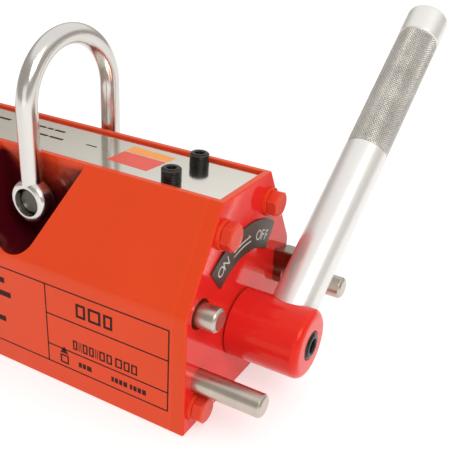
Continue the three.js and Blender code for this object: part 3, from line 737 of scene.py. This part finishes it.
label_outline = rounded([
    (LABEL_LOW.x, LABEL_LOW.y, LABEL_ROUND), (LABEL_HIGH.x, LABEL_LOW.y, LABEL_ROUND),
    (LABEL_HIGH.x, LABEL_HIGH.y, LABEL_ROUND), (LABEL_LOW.x, LABEL_HIGH.y, LABEL_ROUND),
])
label = piece_from("label_sheet", prism(label_outline, "Z", LABEL_LOW.z, LABEL_HIGH.z))
soften(label, SHEET_EDGE, lambda edge: on_plane(edge, 2, LABEL_HIGH.z), segments=2)
label_holes = [Vector((*middle(screw).xy, 0)) for screw in ("left_top_set_screw", "right_top_set_screw")]
combine(label, "DIFFERENCE", together(*[
    rod(AXES["Z"], LABEL_HOLE, LABEL_LOW.z - MM, LABEL_HIGH.z + MM, place) for place in label_holes]))
finish(label, "body", "top_label_plate")


def metres(corners):
    return [(u * MM, v * MM) for u, v in corners]


def marks_on(name, corner_lists, axis, start, end, material, slot):
    """Thin printed marks on the body, each from its corners in millimetres."""
    marks = together(*[prism(metres(corners), axis, start, end) for corners in corner_lists])
    return finish(piece_from(name, marks), "body", material=material, slot=slot)


def bar(u0, v0, u1, v1):
    return [(u0, v0), (u1, v0), (u1, v1), (u0, v1)]


def words(u, v, height, lengths, gap=0.9):
    """Plain bars of given lengths in a row, standing in for a line of lettering."""
    bars = []
    for length in lengths:
        bars.append(bar(u, v, u + length, v + height))
        u += length + gap
    return bars


def boxes(u, v, height, widths, stroke, gap):
    """Hollow boxes of given widths in a row, standing in for bold letters."""
    bars = []
    inset = stroke + SEAM / MM
    for width in widths:
        far, top = u + width, v + height
        if width < 2 * stroke:
            bars += [bar(u, v, u + stroke / 2, top), bar(far - stroke / 2, v, far, top)]
        else:
            bars += [bar(u, v, u + stroke, top), bar(far - stroke, v, far, top),
                     bar(u + inset, v, far - inset, v + stroke),
                     bar(u + inset, top - stroke, far - inset, top)]
        u = far + gap
    return bars


# X and Y of the marks on the label plate, in millimetres
ORANGE_PATCH = [(23.9, 5.0), (45.6, 4.6), (45.6, 10.4), (23.9, 11.6)]
RED_PATCH = [(23.9, -7.6), (44.2, -8.6), (45.2, 3.9), (23.9, 4.4)]
LABEL_LINES = [(-26, 6.5, 1.6, (4.5, 3.2, 5.8)), (-26, -1.5, 1.6, (6.2, 5.4, 7.6)), (6.5, 0.5, 0.9, (5.5,)),
               (-66, 4.5, 1.8, (9, 6, 8)), (-66, -2, 1.8, (7, 11))]

label_top = LABEL_HIGH.z
for name, marks, material, slot in (
    ("label_orange_bar", [ORANGE_PATCH], patch_orange, "label_silver"),
    ("label_red_bar", [RED_PATCH], patch_red, "label_silver"),
    ("label_small_print", [mark for row in LABEL_LINES for mark in words(*row)], print_dark, "dial_dark"),
):
    marks_on(name, marks, "Z", label_top, label_top + INK, material, slot)

THREAD_PITCH = 1.0 * MM
THREAD_DEPTH = 0.12 * MM
TOP_SOCKET_FLATS, TOP_SOCKET_DEPTH = 4 * MM, 4 * MM
HUB_SOCKET_FLATS, HUB_SOCKET_DEPTH = 6 * MM, 4.5 * MM


def set_screw(name, cad_node, body, axis, flats, depth):
    """A cup-ended screw with shallow thread rings and a hexagon socket."""
    low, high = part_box(cad_node)
    centre = (low + high) / 2
    along = {"X": 0, "Z": 2}[axis]
    across = {"X": 2, "Z": 0}[axis]
    radius = (high[across] - low[across]) / 2
    start, end = low[along], high[along]
    centre[along] = 0
    bevel = 0.17 * radius
    profile = [(start, 0), (start, radius - bevel), (start + bevel, radius)]
    for k in range(int((end - start - 2 * bevel) / THREAD_PITCH)):
        base = start + bevel + k * THREAD_PITCH
        profile += [(base + 0.1 * THREAD_PITCH, radius), (base + 0.5 * THREAD_PITCH, radius - THREAD_DEPTH),
                    (base + 0.9 * THREAD_PITCH, radius)]
    cup = 0.62 * radius
    cup_depth = 0.1 * radius
    profile += [(end - bevel, radius), (end - 0.25 * bevel, radius - 0.8 * bevel),
                (end, radius - 1.3 * bevel), (end, cup), (end - cup_depth, cup - cup_depth),
                (end - cup_depth, 0)]
    piece = piece_from(name, revolved(profile, AXES[axis], centre, 48))
    socket = prism(hexagon(flats), "Z", end - depth, end + MM)
    socket.transform(aim(AXES[axis], centre))
    combine(piece, "DIFFERENCE", socket)
    finish(piece, body, cad_node)


for side in ("left", "right"):
    set_screw(f"{side}_top_grub_screw", f"{side}_top_set_screw", "body", "Z",
              TOP_SOCKET_FLATS, TOP_SOCKET_DEPTH)
set_screw("hub_grub_screw", "hub_set_screw", "rotor_and_handle", "X", HUB_SOCKET_FLATS, HUB_SOCKET_DEPTH)


# ---------- curved ON/OFF plate ----------
DIAL_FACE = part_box("on_off_plate")[1].x
DIAL_INNER, DIAL_OUTER = 31.5, 43.6  # millimetres
DIAL_FROM, DIAL_TO = 56, 128  # degrees from +Y
DIAL_STEPS = 40
LETTER_HEIGHT = 4.4
SIZE_OF_CAPITALS = 1.42  # a font's size over the height of its capitals
# character, radius and angle
LETTERS = [("O", 37.9, 121.4), ("N", 37.9, 115), ("O", 36.8, 74.4), ("F", 36.8, 68.6), ("F", 36.8, 63.2)]
# radius, first and last angle of the line, angle of the arrow's tip
ARROWS = [(38.0, 86, 106, 85), (35.9, 85, 107, 108)]
ARROW_WIDTH = 0.6


def around(radius, angle):
    """Y and Z in millimetres of a place about the rotor axis."""
    turned = math.radians(angle)
    return radius * math.cos(turned), ROTOR.z / MM + radius * math.sin(turned)


def arc_band(inner, outer, start, end, steps):
    """The outline of a band round the rotor axis."""
    return ([around(outer, start + (end - start) * k / steps) for k in range(steps + 1)]
            + [around(inner, end + (start - end) * k / steps) for k in range(steps + 1)])


dial_outline = arc_band(DIAL_INNER, DIAL_OUTER, DIAL_FROM, DIAL_TO, DIAL_STEPS)
dial = piece_from("dial_plate", prism(metres(dial_outline), "X", FRONT + FACE_GAP, DIAL_FACE))
soften(dial, SHEET_EDGE, lambda edge: on_plane(edge, 0, DIAL_FACE), segments=2)
finish(dial, "body", "on_off_plate")


def letter(character, radius, angle):
    """A flat letter whose foot points at the rotor axis."""
    curve = bpy.data.curves.new("letter", "FONT")
    curve.body = character
    curve.align_x = "CENTER"
    curve.align_y = "CENTER"
    curve.size = LETTER_HEIGHT * SIZE_OF_CAPITALS * MM
    curve.extrude = INK / 2
    holder = bpy.data.objects.new("letter", curve)
    bpy.context.scene.collection.objects.link(holder)
    graph = bpy.context.evaluated_depsgraph_get()
    mesh = bpy.data.meshes.new_from_object(holder.evaluated_get(graph))
    bpy.data.objects.remove(holder)
    bm = bmesh.new()
    bm.from_mesh(mesh)
    bpy.data.meshes.remove(mesh)
    bmesh.ops.remove_doubles(bm, verts=bm.verts, dist=SLIVER)
    y, z = around(radius, angle)
    stand = Matrix(((0, 0, 1, 0), (1, 0, 0, 0), (0, 1, 0, 0), (0, 0, 0, 1)))
    twist = Matrix.Rotation(math.radians(angle - 90), 4, "X")
    bm.transform(Matrix.Translation((DIAL_FACE + INK / 2, y * MM, z * MM)) @ twist @ stand)
    return bm


def arrow(radius, start, end, tip):
    """A curved line and the barb at its tip."""
    forward = tip < start
    back = start if forward else end
    inward = 3 if forward else -3
    side = 0.9 if forward else -0.9
    line = arc_band(radius - ARROW_WIDTH / 2, radius + ARROW_WIDTH / 2, start, end, 16)
    barb = [around(radius, tip), around(radius + side + 0.35, back + inward),
            around(radius, back + inward * 0.6)]
    return [prism(metres(outline), "X", DIAL_FACE, DIAL_FACE + INK) for outline in (line, barb)]


dial_marks = [letter(*place) for place in LETTERS] + [mark for line in ARROWS for mark in arrow(*line)]
finish(piece_from("dial_lettering", together(*dial_marks)), "body",
       material=print_light, slot="label_silver")

# ---------- printed frame on the near side, X and Z in millimetres ----------
LINE = 0.62
FRAME_LOW, FRAME_HIGH = 9.6, 46.6
FRAME_NEAR, FRAME_DIVIDER, FRAME_FAR = 78.2, 18.9, -78.2
SHELVES = (33.1, 18.3)


def level_line(start, end, z):
    return bar(start, z - LINE / 2, end, z + LINE / 2)


def upright_line(x):
    return bar(x - LINE / 2, FRAME_LOW, x + LINE / 2, FRAME_HIGH)


side_marks = [
    level_line(FRAME_FAR, FRAME_NEAR, FRAME_HIGH), level_line(FRAME_FAR, FRAME_NEAR, FRAME_LOW),
    upright_line(FRAME_NEAR), upright_line(FRAME_FAR), upright_line(FRAME_DIVIDER),
    *[level_line(FRAME_DIVIDER, FRAME_NEAR, z) for z in SHELVES],
]
side_marks += boxes(34.4, 36.4, 6.4, (4.8, 6.2, 4.4), 1.15, 1.3)
side_marks += boxes(32.2, 20.2, 4.5, (2.3, 1.3, 2.5, 2.5, 1.3, 2.8, 2.8), 0.75, 0.7)
side_marks += boxes(53.4, 20.2, 4.5, (3.4, 2.9, 2.9), 0.75, 0.7)
for u, lengths in ((34.8, (1.6, 1.6, 2.4)), (51.4, (1.2, 1.6, 1.6, 1.8)), (60.4, (1.2, 1.6, 1.6, 1.8))):
    side_marks += words(u, 12.4, 2.4, lengths, gap=0.5)
side_marks += [[(25.2, 16.2), (29.6, 16.2), (27.4, 19.6)], *boxes(25.2, 11.2, 4.4, (4.4,), 0.8, 0)]
for row in range(5):
    side_marks += words(-62 + 5 * (row % 2), 39 - 6.4 * row, 2.6, (14, 9, 18 - 2 * row, 11), gap=2.2)
marks_on("side_print", side_marks, "Y", -HALF_WIDTH - INK, -HALF_WIDTH + INK, print_dark, "dial_dark")

# ---------- stop pins, their block and the safety button ----------
def tip_profile(start, root, end, radius, corners):
    """A turned pin's profile. `corners` are (back from its end, in from its side), in millimetres."""
    return [(start, 0), *root, *[(end - back * MM, radius - inward * MM) for back, inward in corners]]


PIN_TIP = ((1.0, 0), (0.85, 0.06), (0.12, 0.8), (0, 0.95))
for pin in ("on_stop_pin", "off_stop_pin"):
    low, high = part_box(pin)
    radius = half_height(pin)
    profile = tip_profile(low.x, [(low.x, radius)], high.x, radius, PIN_TIP) + [(high.x, 0)]
    finish(piece_from(pin + "_turned", revolved(profile, AXES["X"], on_end_plane(pin))), "body", pin)

BLOCK_CORNERS = [(28.4, 21.3), (28.5, 13), (42.3, 10), (43.5, 17)]  # Y and Z from the rotor axis
BLOCK_ROUND = 0.6 * MM
BLOCK_BACK = FRONT + FACE_GAP
BLOCK_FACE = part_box("off_stop_block")[1].x
BLOCK_HOLE = 4.75 * MM
BOSS_RADIUS = 5.9 * MM
BOSS_ROOT = BLOCK_BACK - 2 * MM  # cut away again, level with the block's back
BOSS_FACE = FRONT + 4.4 * MM
BOSS_BEVEL = 0.5 * MM

block_bm = prism(rounded([(u * MM, v * MM, BLOCK_ROUND) for u, v in BLOCK_CORNERS]),
                 "X", BLOCK_BACK - MM, BLOCK_FACE)
block_bm.transform(Matrix.Translation(ROTOR))
block = piece_from("stop_block", block_bm)
soften(block, BLOCK_ROUND, lambda edge: on_plane(edge, 0, BLOCK_FACE))
off_place = on_end_plane("off_stop_pin")
boss_profile = [(BOSS_ROOT, 0), (BOSS_ROOT, BOSS_RADIUS),
                (BOSS_FACE - BOSS_BEVEL, BOSS_RADIUS), (BOSS_FACE, BOSS_RADIUS - BOSS_BEVEL), (BOSS_FACE, 0)]
combine(block, "UNION", revolved(boss_profile, AXES["X"], off_place, 48))
combine(block, "DIFFERENCE",
        rod(AXES["X"], HALF_WIDTH, BLOCK_BACK - OVERRUN, BLOCK_BACK, off_place),
        rod(AXES["X"], BLOCK_HOLE, FRONT - MM, BLOCK_FACE + MM, off_place))
finish(block, "body", "off_stop_block", material=stop_steel)

BUTTON_TIP = ((1.1, 0), (0.9, 0.1), (0.25, 0.75), (0, 1.1), (0.05, 1.6))
BUTTON_DISH = 0.05 * MM
BUTTON_STEM = 4.8 * MM
BUTTON_SHOULDER = PLATE_INNER - 0.5 * MM

low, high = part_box("safety_button")
flange = half_height("safety_button")
profile = tip_profile(low.x, [(low.x, flange), (BUTTON_SHOULDER, flange), (BUTTON_SHOULDER, BUTTON_STEM)],
                      high.x, BUTTON_STEM, BUTTON_TIP) + [(high.x - BUTTON_DISH, 0)]
finish(piece_from("button_turned", revolved(profile, AXES["X"], on_end_plane("safety_button"))),
       "safety_button", "safety_button")

coil_low, coil_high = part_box("button_spring")
coil_axis = (coil_low + coil_high) / 2
WIRE_RADIUS = 0.5 * MM
COIL_TURNS = 6
END_TURNS = 0.7  # of each end that lie flat


def coil_bmesh():
    """A wire wound about X, with its end turns lying flat."""
    steps = 28
    coil_radius = (coil_high.z - coil_low.z) / 2 - WIRE_RADIUS
    span = coil_high.x - coil_low.x - 2 * WIRE_RADIUS
    stations = []
    for k in range(COIL_TURNS * steps + 1):
        turn = k / steps
        spot = min(max((turn - END_TURNS) / (COIL_TURNS - 2 * END_TURNS), 0), 1)
        angle = 2 * math.pi * turn
        out = Vector((0, math.cos(angle), math.sin(angle)))
        centre = Vector((coil_low.x + WIRE_RADIUS + span * spot, *coil_axis.yz)) + out * coil_radius
        stations.append((centre, out, AXES["X"]))
    return round_bar(stations, WIRE_RADIUS, 10)


coil = finish(piece_from("button_coil", coil_bmesh()), "body", "button_spring")
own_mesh(coil)

# ---------- hub ----------
HUB_EDGE = 3.2 * MM
HUB_BACK_BEVEL = 0.3 * MM
HUB_BACK_REACH = 0.4 * MM  # how much nearer the plate the back face is than in the CAD
SEAT_RADIUS = 11.8 * MM  # of the flat seat round the handle
SEAT_DEPTH = 1.1 * MM
GRIP_HOLE, GRIP_BOTTOM = 9.75 * MM, 6.7 * MM
TENON_HOLE, TENON_BOTTOM = 6.3 * MM, -8.3 * MM
SCREW_HOLE, SCREW_BOTTOM = 6.05 * MM, HANDLE_ROOT.x + 1.3 * MM
SCREW_RIM = 0.45 * MM
SHAFT_HOLE = 8.3 * MM
SHAFT_END = FRONT + 8.3 * MM
SEAT_ROUND = 0.8 * MM
SEAT_FROM = 6 * MM  # the seat's outer edge lies farther out than this along the handle
SEAT_CLEAR = 10.5 * MM  # and farther than this from its axis

hub_low, hub_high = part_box("hub")
hub_radius = half_height("hub")
hub_back = hub_low.x - HUB_BACK_REACH
profile = [(hub_back, 0), (hub_back, hub_radius - HUB_BACK_BEVEL), (hub_back + HUB_BACK_BEVEL, hub_radius)]
profile += [*round_edge(hub_high.x, hub_radius, HUB_EDGE, 8), (hub_high.x, 0)]
hub = piece_from("hub_casting", revolved(profile, AXES["X"], ROTOR, 96))
seat, outside = hub_radius - SEAT_DEPTH, 2 * hub_radius
handle_bore = [(TENON_BOTTOM, 0), (TENON_BOTTOM, TENON_HOLE), (GRIP_BOTTOM, TENON_HOLE),
               (GRIP_BOTTOM, GRIP_HOLE), (seat, GRIP_HOLE), (seat, SEAT_RADIUS), (outside, SEAT_RADIUS),
               (outside, 0)]
screw_bore = [(SCREW_BOTTOM, 0), (SCREW_BOTTOM, SCREW_HOLE)]
for angle in (0, 25, 50, 75):
    turn = math.radians(angle)
    screw_bore.append((hub_high.x - SCREW_RIM * (1 - math.sin(turn)),
                       SCREW_HOLE + SCREW_RIM * (1 - math.cos(turn))))
above = hub_high.x + 0.1 * MM
screw_bore += [(above, SCREW_HOLE + 1.2 * SCREW_RIM), (above, 0)]
combine(
    hub, "DIFFERENCE",
    revolved(handle_bore, HANDLE_DIRECTION, HANDLE_ROOT),
    revolved(screw_bore, AXES["X"], ROTOR),
    rod(AXES["X"], SHAFT_HOLE, hub_low.x - MM, SHAFT_END, ROTOR),
)


def seat_edge(edge):
    """The outer edge of the flat seat that the handle stands on."""
    for vert in edge.verts:
        arm = vert.co - HANDLE_ROOT
        along = arm.dot(HANDLE_DIRECTION)
        if along < SEAT_FROM or (arm - HANDLE_DIRECTION * along).length < SEAT_CLEAR:
            return False
    return True


soften(hub, SEAT_ROUND, seat_edge, segments=4, sharpest=20)
finish(hub, "rotor_and_handle", "hub", material=shaded_hub_paint)

# ---------- handle ----------
GRIP_RADIUS = 9.6 * MM
TENON_RADIUS = 6 * MM
TENON_START, TENON_END = -8 * MM, 7 * MM
KNURL_START, KNURL_END = 91.7 * MM, 155 * MM
KNURL_BED = 0.75 * MM  # how deep the bar is turned down under the knurl
BED_EDGES = ((0.5 * MM, 0.12 * MM), (1.2 * MM, 0))  # past the knurl's end, in from the grip's side
KNURL_COUNT = 92  # ridges round the grip
VALLEY_RADIUS, PEAK_RADIUS = GRIP_RADIUS - 0.55 * MM, GRIP_RADIUS - 0.1 * MM
SLEEVE_RADIUS = 0.93 * GRIP_RADIUS
HANDLE_END = 170 * MM
HANDLE_ROUND = 2.6 * MM


def handle_profile():
    profile = [(TENON_START, 0), (TENON_START, TENON_RADIUS), (TENON_END, TENON_RADIUS),
               (TENON_END, GRIP_RADIUS)]
    profile += [(KNURL_START - past, GRIP_RADIUS - inward) for past, inward in reversed(BED_EDGES)]
    profile += [(KNURL_START, GRIP_RADIUS - KNURL_BED), (KNURL_END, GRIP_RADIUS - KNURL_BED)]
    profile += [(KNURL_END + past, GRIP_RADIUS - inward) for past, inward in BED_EDGES]
    return [*profile, *round_edge(HANDLE_END, GRIP_RADIUS, HANDLE_ROUND, 6), (HANDLE_END, 0)]


handle = piece_from("handle_bar", revolved(handle_profile(), HANDLE_DIRECTION, HANDLE_ROOT, 96), 30)
finish(handle, "rotor_and_handle", "handle", material=satin_chrome)


def knurl_bmesh():
    """A sleeve of small pyramids between two crossing families of grooves."""
    length = KNURL_END - KNURL_START
    rows = int(length / (2 * math.pi * GRIP_RADIUS / KNURL_COUNT))
    step = length / rows
    bm = bmesh.new()
    grid = []
    for j in range(rows + 1):
        row = []
        for i in range(KNURL_COUNT):
            low = (i + j) % 2 == 0 or j in (0, rows)
            radius = VALLEY_RADIUS if low else PEAK_RADIUS
            angle = 2 * math.pi * i / KNURL_COUNT
            row.append(bm.verts.new((radius * math.cos(angle), radius * math.sin(angle),
                                     KNURL_START + j * step)))
        grid.append(row)
    for j in range(rows):
        for i in range(KNURL_COUNT):
            k = (i + 1) % KNURL_COUNT
            a, b, c, d = grid[j][i], grid[j][k], grid[j + 1][k], grid[j + 1][i]
            if (i + j) % 2 == 0:
                bm.faces.new((a, b, c))
                bm.faces.new((a, c, d))
            else:
                bm.faces.new((a, b, d))
                bm.faces.new((b, c, d))
    inside = [circle(bm, SLEEVE_RADIUS, along, KNURL_COUNT) for along in (KNURL_START, KNURL_END)]
    for first, second in ((grid[0], inside[0]), (inside[0], inside[1]), (inside[1], grid[-1])):
        skin(bm, first, second)
    bm.transform(aim(HANDLE_DIRECTION, HANDLE_ROOT))
    return bm


knurl = piece_from("handle_knurl", knurl_bmesh(), 12)
finish(knurl, "rotor_and_handle", material=knurl_steel, slot="chrome")

# ---------- shackle ----------
bow_low, bow_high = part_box("shackle_bow")
BAR_RADIUS = 4.3 * MM
BOW_Y = bow_high.y - BAR_RADIUS
CROWN_Z = bow_high.z - BAR_RADIUS - BOW_Y
LEG_END = SHACKLE_Z + 7.2 * MM
EYE_RADIUS = SHACKLE_Z - bow_low.z
EYE_ROUND = 2.6 * MM
EYE_BORE = 5.8 * MM
EYE_EDGE = 0.7 * MM
EYE_LIP = 0.25 * EYE_EDGE  # the middle corner of the bore's edge
ROOT_LOW, ROOT_HIGH = SHACKLE_Z + 3 * MM, SHACKLE_Z + 14 * MM  # where the legs run into the eyes
ROOT_ROUND = 0.9 * MM


def eye_outline():
    """Half the section of an eye, from one edge of its bore round to the other."""
    outline = [(EYE_EDGE - BAR_RADIUS, EYE_BORE), (EYE_LIP - BAR_RADIUS, EYE_BORE + EYE_LIP),
               (-BAR_RADIUS, EYE_BORE + EYE_EDGE)]
    for sign, start in ((-1, 0), (1, 90)):
        for k in range(7):
            angle = math.radians(start + 90 * k / 6)
            outline.append((sign * (BAR_RADIUS - EYE_ROUND) + EYE_ROUND * -math.cos(angle),
                            EYE_RADIUS - EYE_ROUND + EYE_ROUND * math.sin(angle)))
    outline += [(BAR_RADIUS, EYE_BORE + EYE_EDGE), (BAR_RADIUS - EYE_LIP, EYE_BORE + EYE_LIP),
                (BAR_RADIUS - EYE_EDGE, EYE_BORE)]
    return outline


def shackle_bow():
    """The bent bar with an eye joined to each leg."""
    crown_steps = 64
    stations = [(-BOW_Y, LEG_END, 0.0), (-BOW_Y, CROWN_Z - SEAM, 0.0)]
    for k in range(crown_steps + 1):
        angle = math.pi * k / crown_steps
        stations.append((-BOW_Y * math.cos(angle), CROWN_Z + BOW_Y * math.sin(angle), angle))
    stations += [(BOW_Y, CROWN_Z - SEAM, math.pi), (BOW_Y, LEG_END, math.pi)]
    bm = round_bar([(Vector((0, y, z)), AXES["X"], Vector((0, -math.cos(lean), math.sin(lean))))
                    for y, z, lean in stations], BAR_RADIUS, 48)
    piece = piece_from("shackle_forging", bm)
    for side in (-1, 1):
        combine(piece, "UNION",
                ring(eye_outline(), AXES["Y"], Vector((0, side * BOW_Y, SHACKLE_Z)), 72))
    soften(piece, ROOT_ROUND, lambda edge: all(ROOT_LOW < vert.co.z < ROOT_HIGH for vert in edge.verts),
           segments=4, sharpest=25)
    finish(piece, "shackle", "shackle_bow")


shackle_bow()

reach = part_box("shackle_pin")[1].y
pin_radius = half_height("shackle_pin")
PIN_END = ((0, 1.2 * MM), (0.3 * MM, 0.5 * MM), (1.0 * MM, 0))  # back from its end, in from its side
profile = [(-reach, 0)]
profile += [(-reach + back, pin_radius - inward) for back, inward in PIN_END]
profile += [(reach - back, pin_radius - inward) for back, inward in reversed(PIN_END)]
profile.append((reach, 0))
finish(piece_from("shackle_cross_pin", revolved(profile, AXES["Y"], Vector((0, 0, SHACKLE_Z)))),
       "shackle", "shackle_pin", material=dark_steel)

# ---------- floor, light and camera ----------
FLOOR_DROP = 0.02 * MM
FLOOR_GLOW = 0.5
WHITE = (1, 1, 1)
# what the room looks like in reflections, from below to above: place on the ramp, colour
ROOM = ((0.0, (0.44, 0.41, 0.38)), (0.3, (0.44, 0.41, 0.38)), (0.55, (0.5, 0.47, 0.43)), (0.72, WHITE))
ROOM_UP = (0, 0.35, 1)
ROOM_STRENGTH = 1.05
LIGHT_TARGET = Vector((0, 0, 0.05))
AZIMUTH, ELEVATION, ROLL = math.radians(27.9), math.radians(26.2), math.radians(3.5)
CAMERA_PLACE = (0.1971, -0.2243, 0.1954)
PICTURE_WIDTH = 460  # pixels
FOCAL_LENGTH = 719  # pixels
SENSOR_WIDTH = 36  # millimetres

floor_bm = bmesh.new()
bmesh.ops.create_grid(floor_bm, x_segments=8, y_segments=8, size=6)
floor_bm.transform(Matrix.Translation((0, 0, -FLOOR_DROP)))
floor = piece_from("floor", floor_bm)
floor_paint = surface("floor_sweep", (0.6, 0.6, 0.595), 0.6, vary=0.005, vary_scale=5, bump=0.0)
floor.data.materials.append(floor_paint)
glow = floor_paint.node_tree.nodes["Principled BSDF"]
glow.inputs["Emission Color"].default_value = (*WHITE, 1)
glow.inputs["Emission Strength"].default_value = FLOOR_GLOW
floor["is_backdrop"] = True

bpy.context.scene.view_settings.view_transform = "Standard"
world = bpy.data.worlds.new("studio")
bpy.context.scene.world = world
world.use_nodes = True
sky = world.node_tree
direction = sky.nodes.new("ShaderNodeTexCoord")
height = sky.nodes.new("ShaderNodeVectorMath")
height.operation = "DOT_PRODUCT"
height.inputs[1].default_value = ROOM_UP
sky.links.new(direction.outputs["Generated"], height.inputs[0])
lift = sky.nodes.new("ShaderNodeValToRGB")
steps = lift.color_ramp.elements
steps[1].position = ROOM[-1][0]
for place, colour in ROOM[1:-1]:
    steps.new(place)
for step, (place, colour) in zip(steps, ROOM):
    step.position = place
    step.color = (*colour, 1)
sky.links.new(height.outputs["Value"], lift.inputs["Fac"])
seen = sky.nodes.new("ShaderNodeLightPath").outputs["Is Camera Ray"]
background = sky.nodes["Background"]
sky.links.new(mixed(sky, seen, lift.outputs["Color"], WHITE), background.inputs["Color"])
background.inputs["Strength"].default_value = ROOM_STRENGTH


def softbox(name, place, size, power):
    light = bpy.data.lights.new(name, "AREA")
    light.shape = "RECTANGLE"
    light.size, light.size_y = size
    light.energy = power
    holder = bpy.data.objects.new(name, light)
    holder.location = place
    holder.rotation_euler = (LIGHT_TARGET - Vector(place)).to_track_quat("-Z", "Y").to_euler()
    bpy.context.scene.collection.objects.link(holder)


softbox("key", (0.9, -0.55, 1.0), (0.8, 0.7), 9)
softbox("fill", (0.35, -1.3, 0.3), (0.9, 0.6), 1.2)

back = Vector((math.sin(AZIMUTH) * math.cos(ELEVATION), -math.cos(AZIMUTH) * math.cos(ELEVATION),
               math.sin(ELEVATION)))
level = Vector((math.cos(AZIMUTH), math.sin(AZIMUTH), 0))
upright = back.cross(level)
right = level * math.cos(ROLL) + upright * math.sin(ROLL)
up = upright * math.cos(ROLL) - level * math.sin(ROLL)
camera = bpy.data.objects.new("camera", bpy.data.cameras.new("camera"))
camera.data.sensor_width = SENSOR_WIDTH
camera.data.lens = FOCAL_LENGTH / PICTURE_WIDTH * SENSOR_WIDTH
camera.data.clip_start = 0.01
camera.matrix_world = Matrix.Translation(CAMERA_PLACE) @ Matrix((
    (right.x, up.x, back.x, 0), (right.y, up.y, back.y, 0), (right.z, up.z, back.z, 0), (0, 0, 0, 1)))
bpy.context.scene.collection.objects.link(camera)
bpy.context.scene.camera = camera

low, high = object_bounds()
